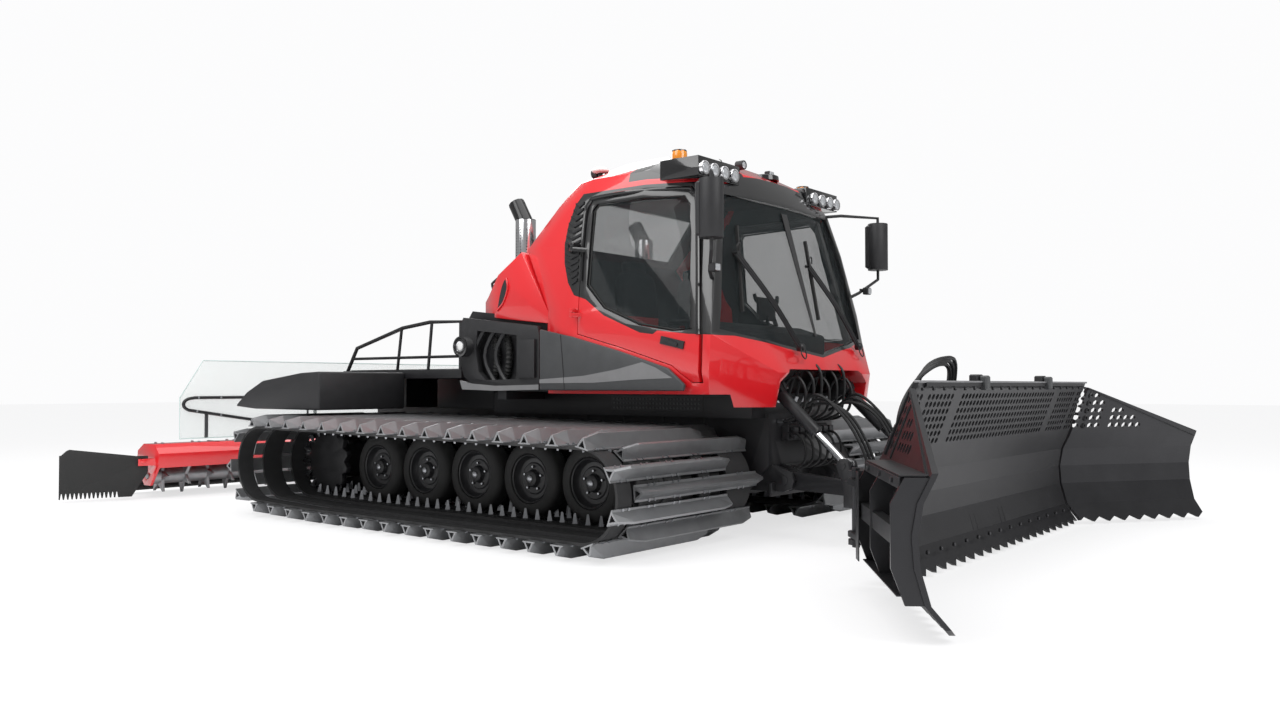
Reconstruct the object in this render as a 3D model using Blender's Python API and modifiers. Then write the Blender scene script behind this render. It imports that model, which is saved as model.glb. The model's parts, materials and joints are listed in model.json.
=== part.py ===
# Snow groomer: a tracked slope machine with a front blade and a rear tiller.
# Metres, +Z up, +X towards the blade, +Y to the driver's left; the ridges of the tracks stand on z = 0.
import math

import bmesh
import bpy
from mathutils import Matrix, Vector

# running gear
TRACK_OUTER_Y = 2.184        # outer ends of the long outer bars
TRACK_INNER_Y = 0.55         # inner ends of the inner bars
OUTER_BAR_INNER_Y = 0.91     # where the outer family of bars stops
INNER_BAR_OUTER_Y = 1.955    # where the inner family of bars stops
RIDGE = 0.10                 # height of a bar above its belt
BAR_FOOT = 0.070             # width of a bar where it sits on the belts
BAR_PITCH = 0.25             # along the belt, between bars of one family
BELT = 0.020                 # thickness of the rubber belts
WHEEL_R = 0.290
ARC_SAG = 0.011              # taken off the belt's inner face where straight facets pass round the wheels
SPROCKET_R = 0.300           # belt's inner face round the sprocket
ARC_STEPS = 14
FLAT_RUN = -0.999999          # sine of the belt's outward angle on its straight lower run
IDLER_X = 1.900
SPROCKET_X = -1.765
SPROCKET_RISE = 0.030        # sprocket axle above the wheel axles
WHEEL_PITCH = 0.603
FIRST_WHEEL_X = -1.035
ROAD_WHEELS = 5
SEAT_GAP = 0.0003            # faces that touch keep this
WHEEL_OUTER_Y = 1.44
TYRE_W = 0.17
TWIN_GAP = 0.16
RIM_R = 0.185
DISH = 0.05
AXLE_R = 0.045
ROCKER_H = 0.11
ROCKER_T = 0.06
ROCKER_Y = 0.74
PIVOT_R = 0.06
TYRE_STEPS = 12
SPROCKET_TEETH = 13
TOOTH_H = 0.045
SPROCKET_DISC = 0.05
SPROCKET_HUB_R = 0.17

# chassis
TUB_HALF = 0.48
TUB_BOTTOM = 0.30
TUB_TOP = 0.90
TUB_FRONT = 2.275
TUB_REAR = -2.30
TUB_BOW = 0.22               # the bow plate leans back by this
DECK_HALF = 0.66
DECK_BOTTOM = 0.9003
DECK_TOP = 1.045
DECK_REAR = -0.42

# cab
CAB_WALL = 0.045
FLOOR_Z = 1.10
DOOR_GAP = 0.006
GLASS = 0.006
GLASS_SET = 0.018            # how far the glass lies in from the skin


# colours: red, green, blue, roughness, metallic
PAINTS = {
    "red": (0.80, 0.015, 0.02, 0.25, 0.0),
    "black": (0.02, 0.02, 0.022, 0.35, 0.0),
    "steel": (0.06, 0.06, 0.065, 0.45, 0.6),
    "rubber": (0.03, 0.03, 0.03, 0.8, 0.0),
    "track": (0.42, 0.43, 0.44, 0.4, 0.8),
    "glass": (0.10, 0.12, 0.12, 0.05, 0.0),
    "clear": (0.80, 0.90, 0.88, 0.05, 0.0),
    "chrome": (0.75, 0.75, 0.75, 0.15, 1.0),
    "seat": (0.03, 0.03, 0.03, 0.8, 0.0),
    "grey": (0.25, 0.26, 0.27, 0.5, 0.3),
}


def clear_scene():
    for old in list(bpy.data.objects):
        bpy.data.objects.remove(old, do_unlink=True)


def new_collection(name):
    group = bpy.data.collections.new(name)
    bpy.context.scene.collection.children.link(group)
    return group


clear_scene()
MACHINE = new_collection("snow_groomer")


def paint(name):
    material = bpy.data.materials.get(name)
    if material is None:
        red, green, blue, rough, metal = PAINTS[name]
        material = bpy.data.materials.new(name)
        material.use_nodes = True
        shader = material.node_tree.nodes["Principled BSDF"]
        shader.inputs["Base Color"].default_value = (red, green, blue, 1.0)
        shader.inputs["Roughness"].default_value = rough
        shader.inputs["Metallic"].default_value = metal
    return material


def link_mesh(name, mesh, colour="black"):
    thing = bpy.data.objects.new(name, mesh)
    mesh.materials.clear()
    mesh.materials.append(paint(colour))
    MACHINE.objects.link(thing)
    return thing


def remove(thing):
    bpy.data.objects.remove(thing, do_unlink=True)


def outward(mesh):
    shape = bmesh.new()
    shape.from_mesh(mesh)
    bmesh.ops.remove_doubles(shape, verts=shape.verts, dist=0.00005)
    bmesh.ops.recalc_face_normals(shape, faces=shape.faces)
    shape.to_mesh(mesh)
    shape.free()


def baked(thing, colour="black"):
    """The object's evaluated mesh in world space as a plain mesh object of the same name."""
    name = thing.name
    graph = bpy.context.evaluated_depsgraph_get()
    mesh = bpy.data.meshes.new_from_object(thing.evaluated_get(graph))
    mesh.transform(thing.matrix_world)
    remove(thing)
    outward(mesh)
    return link_mesh(name, mesh, colour)


def prism(name, outlines, low, high, plane="XZ", colour="black"):
    """Flat outlines filled and extruded between low and high, across the plane's third axis."""
    curve = bpy.data.curves.new(name, "CURVE")
    curve.dimensions = "2D"
    curve.fill_mode = "BOTH"
    curve.extrude = (high - low) / 2
    if not isinstance(outlines[0][0], (tuple, list)):
        outlines = [outlines]
    for outline in outlines:
        spline = curve.splines.new("POLY")
        spline.points.add(len(outline) - 1)
        spline.use_cyclic_u = True
        for point, (a, b) in zip(spline.points, outline):
            point.co = (a, b, 0.0, 1.0)
    thing = bpy.data.objects.new(name, curve)
    MACHINE.objects.link(thing)
    middle = (low + high) / 2
    axes = {
        "XZ": Matrix(((1, 0, 0, 0), (0, 0, -1, middle), (0, 1, 0, 0), (0, 0, 0, 1))),
        "XY": Matrix(((1, 0, 0, 0), (0, 1, 0, 0), (0, 0, 1, middle), (0, 0, 0, 1))),
        "YZ": Matrix(((0, 0, 1, middle), (1, 0, 0, 0), (0, 1, 0, 0), (0, 0, 0, 1))),
    }
    thing.matrix_world = axes[plane]
    bpy.context.view_layer.update()
    return baked(thing, colour)


def box(name, low, high, colour="black"):
    mesh = bpy.data.meshes.new(name)
    shape = bmesh.new()
    bmesh.ops.create_cube(shape, size=1.0)
    for vert in shape.verts:
        for axis in range(3):
            vert.co[axis] = low[axis] if vert.co[axis] < 0 else high[axis]
    shape.to_mesh(mesh)
    shape.free()
    return link_mesh(name, mesh, colour)


def rod(name, start, end, radius, sides=12, colour="black", end_radius=None):
    """A round bar from start to end."""
    start, end = Vector(start), Vector(end)
    along = end - start
    mesh = bpy.data.meshes.new(name)
    shape = bmesh.new()
    bmesh.ops.create_cone(
        shape, cap_ends=True, segments=sides, radius1=radius,
        radius2=radius if end_radius is None else end_radius, depth=along.length)
    turn = Vector((0, 0, 1)).rotation_difference(along).to_matrix().to_4x4()
    shape.transform(Matrix.Translation((start + end) / 2) @ turn)
    shape.to_mesh(mesh)
    shape.free()
    return link_mesh(name, mesh, colour)


def tube(name, points, radius, sides=8, colour="black", closed=False):
    """A bent tube through the points."""
    curve = bpy.data.curves.new(name, "CURVE")
    curve.dimensions = "3D"
    curve.bevel_depth = radius
    curve.bevel_resolution = sides // 2 - 2
    curve.use_fill_caps = not closed
    spline = curve.splines.new("POLY")
    spline.points.add(len(points) - 1)
    spline.use_cyclic_u = closed
    for point, place in zip(spline.points, points):
        point.co = (*place, 1.0)
    thing = bpy.data.objects.new(name, curve)
    MACHINE.objects.link(thing)
    bpy.context.view_layer.update()
    return baked(thing, colour)


def boolean(thing, other, operation, keep=False):
    change = thing.modifiers.new(operation, "BOOLEAN")
    change.operation = operation
    change.solver = "EXACT"
    change.object = other
    bpy.context.view_layer.update()
    colour = thing.data.materials[0].name
    result = baked(thing, colour)
    if not keep:
        remove(other)
    return result


def union(name, pieces, colour="black"):
    whole = pieces[0]
    for piece in pieces[1:]:
        whole = boolean(whole, piece, "UNION")
    whole.name = name
    whole.data.materials.clear()
    whole.data.materials.append(paint(colour))
    return whole


def cut(thing, *cutters):
    for cutter in cutters:
        thing = boolean(thing, cutter, "DIFFERENCE")
    return thing


def copy_of(thing, name):
    other = bpy.data.objects.new(name, thing.data.copy())
    MACHINE.objects.link(other)
    other.matrix_world = thing.matrix_world
    return other


def mirrored(thing, name):
    """The same piece on the machine's other side."""
    other = copy_of(thing, name)
    other.data.transform(Matrix.Diagonal((1, -1, 1, 1)))
    other.data.flip_normals()
    return other


def turned(thing, degrees, axis, about):
    """Turn the mesh about a line through a point."""
    about = Vector(about)
    turn = Matrix.Rotation(math.radians(degrees), 4, Vector(axis))
    thing.data.transform(Matrix.Translation(about) @ turn @ Matrix.Translation(-about))
    return thing


def pivot_at(thing, point):
    """Give the object its origin on its joint's axis."""
    thing.data.transform(Matrix.Translation(-Vector(point)))
    thing.location = Vector(point)
    return thing


def pair(right, base):
    """Name the right-hand piece and add its left-hand twin."""
    right.name = base + "_right"
    return right, mirrored(right, base + "_left")


def revolve(name, profile, centre, steps, colour="rubber"):
    """A profile of (radius, y) points turned about a line along Y through the centre."""
    mesh = bpy.data.meshes.new(name)
    points = [(radius, 0.0, y) for radius, y in profile]
    mesh.from_pydata(points, [(k, k + 1) for k in range(len(points) - 1)], [])
    thing = bpy.data.objects.new(name, mesh)
    MACHINE.objects.link(thing)
    screw = thing.modifiers.new("turn", "SCREW")
    screw.axis = "Z"
    screw.steps = steps
    screw.render_steps = steps
    screw.use_merge_vertices = True
    screw.merge_threshold = 0.00005
    thing.matrix_world = Matrix(((1, 0, 0, centre[0]), (0, 0, 1, 0.0), (0, -1, 0, centre[1]), (0, 0, 0, 1)))
    bpy.context.view_layer.update()
    return baked(thing, colour)


# running gear
AXLE_Z = RIDGE + BELT + WHEEL_R + SEAT_GAP
SPROCKET_Z = AXLE_Z + SPROCKET_RISE
IDLER_BELT_R = WHEEL_R + SEAT_GAP


def tangent(first, second):
    """Points where the outer line of two circles (x, z, r), walked clockwise, touches them."""
    (x1, z1, r1), (x2, z2, r2) = first, second
    dx, dz = x2 - x1, z2 - z1
    span = math.hypot(dx, dz)
    base = math.atan2(dz, dx)
    lean = math.acos((r1 - r2) / span)
    angle = base + lean
    out = (math.cos(angle), math.sin(angle))
    return (x1 + r1 * out[0], z1 + r1 * out[1], angle), (x2 + r2 * out[0], z2 + r2 * out[1], angle)


def belt_path():
    """The belt's inner face as a closed list of (x, z, outward angle) round its wheels, clockwise."""
    circles = [
        (SPROCKET_X, SPROCKET_Z, SPROCKET_R),
        (IDLER_X, AXLE_Z, IDLER_BELT_R),
        (FIRST_WHEEL_X, AXLE_Z, WHEEL_R + SEAT_GAP),
    ]
    lines = [tangent(circles[k], circles[(k + 1) % 3]) for k in range(3)]
    path = []
    for k in range(3):
        path.append(lines[k][0])
        path.append(lines[k][1])
        circle = circles[(k + 1) % 3]
        start, stop = lines[k][1][2], lines[(k + 1) % 3][0][2]
        while stop > start:
            stop -= 2 * math.pi
        steps = max(1, round((start - stop) / math.pi * ARC_STEPS))
        for step in range(1, steps):
            angle = start + (stop - start) * step / steps
            path.append((circle[0] + circle[2] * math.cos(angle),
                         circle[1] + circle[2] * math.sin(angle), angle))
    return path


def along_path(path):
    lengths = [0.0]
    for here, there in zip(path, path[1:] + path[:1]):
        lengths.append(lengths[-1] + math.hypot(there[0] - here[0], there[1] - here[1]))
    return lengths


def at_length(path, lengths, distance):
    """Place and outward direction at a distance along the belt."""
    distance %= lengths[-1]
    count = len(path)
    for k in range(count):
        if distance <= lengths[k + 1]:
            share = (distance - lengths[k]) / max(lengths[k + 1] - lengths[k], 1e-9)
            here, there = path[k], path[(k + 1) % count]
            turn = (there[2] - here[2] + math.pi) % (2 * math.pi) - math.pi
            angle = here[2] + turn * share
            return (here[0] + (there[0] - here[0]) * share,
                    here[1] + (there[1] - here[1]) * share, angle)
    return path[0]


def make_tracks():
    """One loop: belts with a three-sided ridge for each bar, in outer, shared and inner columns."""
    path = belt_path()
    lengths = along_path(path)
    bars = 2 * round(lengths[-1] / BAR_PITCH)
    # columns of bars between these y stations: which families have a ridge there
    stations = (-TRACK_OUTER_Y, -INNER_BAR_OUTER_Y, -OUTER_BAR_INNER_Y, -TRACK_INNER_Y)
    families = ((0,), (0, 1), (1,))
    shape = bmesh.new()
    rows = []
    for y in stations:
        row = []
        for bar in range(bars):
            step = lengths[-1] / bars
            centre = bar * step
            # the belt is thinner off its lower run, so that its straight facets clear the round wheels
            flat = all(math.sin(at_length(path, lengths, centre + k * step)[2]) < FLAT_RUN for k in (-1, 0, 1))
            inner = 0.0 if flat else ARC_SAG
            points = []
            for offset, reach in ((-BAR_FOOT / 2, BELT), (0.0, BELT + RIDGE), (BAR_FOOT / 2, BELT), (0.0, inner)):
                x, z, angle = at_length(path, lengths, centre + offset)
                points.append((x + reach * math.cos(angle), y, z + reach * math.sin(angle)))
            row.append(points)
        rows.append(row)
    verts = {}

    def vert(station, bar, corner):
        key = (station, bar % bars, corner)
        if key not in verts:
            verts[key] = shape.verts.new(rows[station][bar % bars][corner])
        return verts[key]

    last = len(stations) - 1
    for column, ridged in enumerate(families):
        for bar in range(bars):
            corners = [(bar, 0), (bar, 1), (bar, 2), (bar + 1, 0)]
            if bar % 2 not in ridged:
                corners.remove((bar, 1))
            for (bar_a, a), (bar_b, b) in zip(corners, corners[1:]):
                shape.faces.new((vert(column, bar_a, a), vert(column, bar_b, b),
                                 vert(column + 1, bar_b, b), vert(column + 1, bar_a, a)))
    for bar in range(bars):
        shape.faces.new((vert(0, bar, 3), vert(last, bar, 3), vert(last, bar + 1, 3), vert(0, bar + 1, 3)))
        for station in (0, last):
            shape.faces.new((vert(station, bar, 3), vert(station, bar, 0), vert(station, bar, 2)))
            shape.faces.new((vert(station, bar, 3), vert(station, bar, 2),
                             vert(station, bar + 1, 0), vert(station, bar + 1, 3)))
        # a bar's end face: the outer family ends at stations 0 and 2, the inner at 1 and 3
        for station in ((0, 2), (1, last))[bar % 2]:
            shape.faces.new((vert(station, bar, 0), vert(station, bar, 1), vert(station, bar, 2)))
    mesh = bpy.data.meshes.new("track")
    shape.to_mesh(mesh)
    shape.free()
    outward(mesh)
    pair(link_mesh("track", mesh, "track"), "track")


def tyre_profile(outer_y, dished):
    """Half section of one wheel with its tyre, from the axle out and back, dished on the outside."""
    low, high = -outer_y, -outer_y + TYRE_W
    shoulder = TYRE_W / 8
    face = [(0.0, low + DISH), (RIM_R - shoulder, low + DISH), (RIM_R, low), (WHEEL_R - shoulder, low)]
    if not dished:
        face = [(0.0, low)]
    return face + [(WHEEL_R, low + (shoulder if dished else 0.0)), (WHEEL_R, high), (0.0, high)]


def make_wheels():
    places = [FIRST_WHEEL_X + k * WHEEL_PITCH for k in range(ROAD_WHEELS)] + [IDLER_X]
    sets = [places[0:2], places[2:4], places[4:6]]
    for number, centres in enumerate(sets, 1):
        pieces = []
        middle = sum(centres) / len(centres)
        half = (centres[-1] - centres[0]) / 2
        rocker = prism("rocker", capsule(middle, AXLE_Z, half, ROCKER_H / 2),
                       -ROCKER_Y - ROCKER_T, -ROCKER_Y, colour="rubber")
        pieces.append(rocker)
        pieces.append(rod("pivot", (middle, -TUB_HALF - SEAT_GAP, AXLE_Z),
                          (middle, -ROCKER_Y - ROCKER_T / 2, AXLE_Z), PIVOT_R, 8))
        for x in centres:
            pieces.append(rod("axle", (x, -ROCKER_Y - ROCKER_T / 2, AXLE_Z),
                              (x, -WHEEL_OUTER_Y + DISH / 2, AXLE_Z), AXLE_R, 6))
            for outer_y in (WHEEL_OUTER_Y, WHEEL_OUTER_Y - TYRE_W - TWIN_GAP):
                profile = tyre_profile(outer_y, outer_y == WHEEL_OUTER_Y)
                pieces.append(revolve("tyre", profile, (x, AXLE_Z), TYRE_STEPS))
        pair(union("wheel_set", pieces, "rubber"), f"wheel_set_{number}")


def capsule(x, z, half, radius, steps=3):
    """Outline of a bar with round ends."""
    outline = []
    for centre, start in ((x + half, -math.pi / 2), (x - half, math.pi / 2)):
        for step in range(steps + 1):
            angle = start + math.pi * step / steps
            outline.append((centre + radius * math.cos(angle), z + radius * math.sin(angle)))
    return outline


def toothed(x, z, radius, depth, teeth, start=0.0):
    """Outline of a gear-like disc."""
    outline = []
    for tooth in range(teeth):
        for share, reach in ((0.0, -depth), (0.3, 0.0), (0.6, 0.0), (0.9, -depth)):
            angle = start + 2 * math.pi * (tooth + share) / teeth
            outline.append((x + (radius + reach) * math.cos(angle), z + (radius + reach) * math.sin(angle)))
    return outline


def make_sprockets():
    gear = toothed(SPROCKET_X, SPROCKET_Z, SPROCKET_R - SEAT_GAP, TOOTH_H, SPROCKET_TEETH)
    pieces = [rod("hub", (SPROCKET_X, -TUB_HALF - SEAT_GAP, SPROCKET_Z),
                  (SPROCKET_X, -WHEEL_OUTER_Y + DISH, SPROCKET_Z), SPROCKET_HUB_R, 12)]
    for outer_y in (WHEEL_OUTER_Y, WHEEL_OUTER_Y - TYRE_W - TWIN_GAP):
        pieces.append(prism("disc", gear, -outer_y, -outer_y + SPROCKET_DISC))
    pair(union("sprocket", pieces, "black"), "sprocket")


# chassis
HITCH_X = -2.42
HITCH_Z = 0.52
PUSH_X = 2.33
PUSH_Z = 0.42
PIN_R = 0.035
EAR_T = 0.03
EAR_R = 0.085
EAR_GAP = 0.008
PUSH_ARM_Y = 0.36
PUSH_ARM_T = 0.07
HITCH_ARM_Y = 0.22
HITCH_ARM_T = 0.07
CYL_X = 2.36
CYL_Z = 1.09
CYL_Y = 0.53
CYL_EAR_R = 0.065
ROD_EYE = 0.05


def ears(y, thickness, x, z, root_x, root_low, root_high, radius=EAR_R):
    """Two ears on either side of an arm of the given thickness, from a root face out to a pin, with the pin."""
    pieces = []
    outline = [(root_x, root_low)]
    reach = 1 if x > root_x else -1
    for step in range(5):
        angle = -math.pi / 2 + math.pi * step / 4
        outline.append((x + reach * radius * math.cos(angle), z + radius * math.sin(angle)))
    outline.append((root_x, root_high))
    half = thickness / 2 + EAR_GAP
    for centre in (-y, y):
        for low in (centre - half - EAR_T, centre + half):
            pieces.append(prism("ear", outline, low, low + EAR_T))
        end = half + EAR_T + EAR_GAP
        pieces.append(rod("pin", (x, centre - end, z), (x, centre + end, z), PIN_R, 8))
    return pieces


def make_chassis():
    tub = prism("tub", [(TUB_REAR, TUB_BOTTOM + TUB_BOW), (TUB_REAR, TUB_TOP), (TUB_FRONT, TUB_TOP),
                        (TUB_FRONT, TUB_BOTTOM + TUB_BOW), (TUB_FRONT - TUB_BOW, TUB_BOTTOM),
                        (TUB_REAR + TUB_BOW, TUB_BOTTOM)], -TUB_HALF, TUB_HALF)
    deck = box("deck", (DECK_REAR, -DECK_HALF, TUB_TOP - EAR_T), (TUB_FRONT - EAR_T, DECK_HALF, DECK_TOP))
    pieces = [tub, deck]
    pieces += ears(PUSH_ARM_Y, PUSH_ARM_T, PUSH_X + EAR_R / 2, PUSH_Z, TUB_FRONT - TUB_BOW,
                   TUB_BOTTOM + EAR_T, PUSH_Z + 2 * EAR_R)
    pieces += ears(HITCH_ARM_Y, HITCH_ARM_T, HITCH_X, HITCH_Z, TUB_REAR + EAR_T, HITCH_Z - EAR_R,
                   HITCH_Z + 2 * EAR_R)
    pieces += ears(CYL_Y, ROD_EYE, CYL_X, CYL_Z, TUB_FRONT - TUB_BOW / 3, TUB_TOP + EAR_T, DECK_TOP - EAR_T / 2,
                   CYL_EAR_R)
    return union("chassis", pieces, "black")


def cab_rings(inset, floor):
    """Rings of the cab's outline, one a level, moved in by the inset; the lowest ring lies at the floor."""
    rings = []
    for number, row in enumerate(CAB_LEVELS):
        z, rear_x, rear_y, side_y, pillar_x, pillar_y, middle_x, middle_y, centre_x = row
        if number == 0:
            z = floor
        elif number == len(CAB_LEVELS) - 1:
            z -= inset
        half = [
            (middle_x - inset, middle_y), (pillar_x - inset, pillar_y - inset),
            (CAB_BEND_X, side_y - inset), (rear_x + CAB_REAR_CORNER, side_y - inset),
            (rear_x + inset, rear_y - inset),
        ]
        ring = [(centre_x - inset, 0.0)] + [(x, -y) for x, y in half] + [(x, y) for x, y in reversed(half)]
        rings.append([(x, y, z) for x, y in ring])
    return rings


def cab_solid(name, inset, floor):
    """A closed loft through the cab's levels."""
    shape = bmesh.new()
    rings = [[shape.verts.new(point) for point in ring] for ring in cab_rings(inset, floor)]
    count = len(rings[0])
    for low, high in zip(rings, rings[1:]):
        for k in range(count):
            n = (k + 1) % count
            # each side's facets mirror the other's
            near, far = (k, n) if k < count // 2 else (n, k)
            shape.faces.new((low[near], low[far], high[far]))
            shape.faces.new((low[near], high[far], high[near]))
    shape.faces.new(rings[0])
    shape.faces.new(rings[-1])
    mesh = bpy.data.meshes.new(name)
    shape.to_mesh(mesh)
    shape.free()
    outward(mesh)
    return link_mesh(name, mesh, "red")


def grown(outline, by):
    """The outline moved outwards by a distance, for straight-sided outlines without sharp notches."""
    count = len(outline)
    area = sum(outline[k][0] * outline[(k + 1) % count][1] - outline[(k + 1) % count][0] * outline[k][1]
               for k in range(count))
    sign = 1 if area > 0 else -1
    result = []
    for k in range(count):
        before, here, after = outline[k - 1], outline[k], outline[(k + 1) % count]
        normals = []
        for start, end in ((before, here), (here, after)):
            dx, dz = end[0] - start[0], end[1] - start[1]
            size = math.hypot(dx, dz)
            normals.append((sign * dz / size, -sign * dx / size))
        mx, mz = normals[0][0] + normals[1][0], normals[0][1] + normals[1][1]
        share = 2 / (mx * mx + mz * mz)
        result.append((here[0] + mx * share * by, here[1] + mz * share * by))
    return result


def cab_skin(name, outer_inset, inner_inset, cutter):
    """The part of a cab-shaped skin between two insets that lies within the cutter."""
    skin = boolean(cab_solid(name, outer_inset, CAB_BOTTOM - SKIRT), cutter, "INTERSECT")
    return cut(skin, cab_solid("core", inner_inset, CAB_BOTTOM - 2 * SKIRT))


def make_cab():
    room = cab_solid("room", CAB_WALL, FLOOR_Z)
    room = cut(room, box("dash", (BULKHEAD_X, -CAB_REACH, CAB_BOTTOM - SKIRT), (CAB_REACH * 3, CAB_REACH, DASH_Z)))
    shell = cab_solid("cab_shell", 0.0, CAB_BOTTOM - SKIRT)
    shell = cut(shell, box("under", (-CAB_REACH, -CAB_REACH, 0.0), (CHEEK_X, CAB_REACH, CAB_BOTTOM)),
                prism("arch", ARCH, BULKHEAD_X + CAB_WALL, CAB_REACH * 3, "YZ"),
                prism("front_glass", WINDSHIELD, PILLAR_CUT_X, CAB_REACH * 3, "YZ"),
                prism("rear_glass", REAR_WINDOW, 0.0, REAR_CUT_X, "YZ"))
    swing_room = [(x + DOOR_FRONT_GAP, z) for x, z in DOOR_FRONT]
    opening = grown(DOOR_SILL + swing_room + DOOR_TOP, DOOR_GAP)
    for side, low, high in (("right", -CAB_REACH, -DOOR_CUT_Y), ("left", DOOR_CUT_Y, CAB_REACH)):
        shell = cut(shell, prism("doorway", opening, low, high))
    shell = cut(shell, room)
    knuckles = []
    for z, root_y in DOOR_KNUCKLES:
        knuckles.append(lever("knuckle", (DOOR_HINGE_X, -DOOR_HINGE_Y), KNUCKLE_R,
                              [(DOOR_HINGE_X - 2.5 * KNUCKLE_R, root_y), (DOOR_HINGE_X - 0.8 * KNUCKLE_R, root_y)],
                              z, z + KNUCKLE_H, plane="XY"))
        knuckles.append(rod("pin", (DOOR_HINGE_X, -DOOR_HINGE_Y, z - KNUCKLE_H - EAR_GAP),
                            (DOOR_HINGE_X, -DOOR_HINGE_Y, z + KNUCKLE_H / 2), KNUCKLE_R / 2, 8))
    shell = union("cab_shell", [shell] + knuckles + [mirrored(piece, "twin") for piece in knuckles], "red")
    clear = GLASS_GAP
    door = cab_skin("door", 0.0, CAB_WALL, prism("door_cut", DOOR, -CAB_REACH, -DOOR_CUT_Y))
    door = cut(door, prism("door_window", DOOR_GLASS, -CAB_REACH, -DOOR_CUT_Y))
    door = union("door", [door] + [
        lever("knuckle", (DOOR_HINGE_X, -DOOR_HINGE_Y), KNUCKLE_R,
              [(DOOR_HINGE_X + 1.5 * KNUCKLE_R, root_y), (DOOR_HINGE_X + 3 * KNUCKLE_R, root_y)],
              z - KNUCKLE_H - EAR_GAP / 2, z - EAR_GAP / 2, KNUCKLE_R / 2, "XY") for z, root_y in DOOR_KNUCKLES], "red")
    glass = cab_skin("door_glass", GLASS_SET, GLASS_SET + GLASS,
                     prism("glass_cut", grown(DOOR_GLASS, -clear), -CAB_REACH, -DOOR_CUT_Y))
    front = cab_skin("windshield", GLASS_SET, GLASS_SET + GLASS,
                     prism("glass_cut", grown(WINDSHIELD, -clear), PILLAR_CUT_X, CAB_REACH * 3, "YZ"))
    rear = cab_skin("rear_window", GLASS_SET, GLASS_SET + GLASS,
                    prism("glass_cut", grown(REAR_WINDOW, -clear), 0.0, REAR_CUT_X, "YZ"))
    for thing in (glass, front, rear):
        thing.data.materials.clear()
        thing.data.materials.append(paint("glass"))
    for thing, base in ((door, "door"), (glass, "door_glass")):
        for piece in pair(thing, base):
            side = -1 if piece.name.endswith("right") else 1
            pivot_at(piece, (DOOR_HINGE_X, side * DOOR_HINGE_Y, FLOOR_Z))


CAB_LEVELS = (
    # height, rear x, rear y, side y, pillar x, pillar y, middle x, middle y, centre x
    (0.960, 0.62, 1.06, 1.10, 2.17, 1.08, 2.45, 0.74, 2.47),
    (1.200, 0.62, 1.08, 1.16, 2.21, 1.15, 2.50, 0.71, 2.50),
    (1.465, 0.62, 1.08, 1.15, 2.22, 1.14, 2.33, 0.60, 2.42),
    (1.700, 0.62, 1.07, 1.13, 2.20, 1.08, 2.28, 0.57, 2.345),
    (2.200, 0.34, 1.02, 1.075, 2.13, 0.93, 2.17, 0.48, 2.205),
    (2.530, 0.64, 0.96, 1.03, 2.05, 0.84, 2.09, 0.42, 2.11),
    (2.700, 0.79, 0.90, 0.98, 1.93, 0.80, 2.01, 0.45, 2.03),
    (2.840, 0.98, 0.66, 0.74, 1.66, 0.62, 1.74, 0.40, 1.76),
)
CAB_BEND_X = 1.55
CAB_REAR_CORNER = 0.22
CAB_BOTTOM = DECK_TOP + SEAT_GAP
SKIRT = 0.09
CAB_REACH = 1.4
CHEEK_X = 2.28
BULKHEAD_X = 2.12
DASH_Z = 1.30
PILLAR_CUT_X = 1.90
REAR_CUT_X = 0.95
DOOR_CUT_Y = 0.74
DOOR_FRONT_GAP = 0.025
DOOR_HINGE_X = 0.98
DOOR_HINGE_Y = 1.19
DOOR_KNUCKLES = ((1.66, -1.112), (2.16, -1.063))
KNUCKLE_R = 0.02
KNUCKLE_H = 0.03
GLASS_GAP = 0.0003
ARCH = [(-0.68, 0.80), (-0.665, 1.13), (-0.53, 1.225), (0.53, 1.225), (0.665, 1.13), (0.68, 0.80)]
WINDSHIELD = [(-1.05, 1.50), (-0.79, 2.50), (0.79, 2.50), (1.05, 1.50), (0.0, 1.34)]
REAR_WINDOW = [(-0.78, 2.26), (-0.72, 2.60), (0.72, 2.60), (0.78, 2.26)]
DOOR_SILL = [(1.0, 1.50), (1.425, 1.39), (1.90, 1.25), (2.06, 1.13)]
DOOR_FRONT = [(2.12, 1.13), (2.125, 1.45), (1.955, 2.48)]
DOOR_TOP = [(1.88, 2.555), (1.06, 2.555), (0.985, 2.48)]
DOOR = DOOR_SILL + DOOR_FRONT + DOOR_TOP
DOOR_GLASS = [(1.06, 1.86), (1.25, 1.68), (1.60, 1.54), (1.90, 1.49), (2.06, 1.50), (1.905, 2.42),
              (1.85, 2.49), (1.10, 2.49), (1.06, 2.45)]


# engine, hood and the open bay
HOOD_WALL = 0.025
HOOD_SIDE = 1.07
HOOD_PIVOT = (0.29, 0.0, 2.15)
HOOD_SIDE_VIEW = [(0.322, 2.185), (-0.20, 1.86), (-0.44, 1.74), (-0.44, 1.715), (0.6197, 1.595), (0.6197, 1.69)]
HOOD_PLAN = [(0.70, -HOOD_SIDE), (0.05, -HOOD_SIDE), (-0.28, -0.90), (-0.44, -0.55),
             (-0.44, 0.55), (-0.28, 0.90), (0.05, HOOD_SIDE), (0.70, HOOD_SIDE)]
ENGINE_LOW = (-0.30, -0.42, DECK_TOP + SEAT_GAP)
ENGINE_HIGH = (0.50, 0.42, 1.49)
STACK = (0.10, 0.80)
STACK_R = 0.085
STACK_TOP = 2.50
STACK_FOOT = 1.96
TIP_R = 0.07
TIP_LEAN = 0.11
TIP_RISE = 0.15
HOOD_CORE = [(0.592, 0.0), (0.592, 1.675), (0.31, 2.142), (-0.20, 1.828), (-0.41, 1.724), (-0.41, 0.0)]
BAY_OUT = 1.14
BAY_T = 0.05
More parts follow.
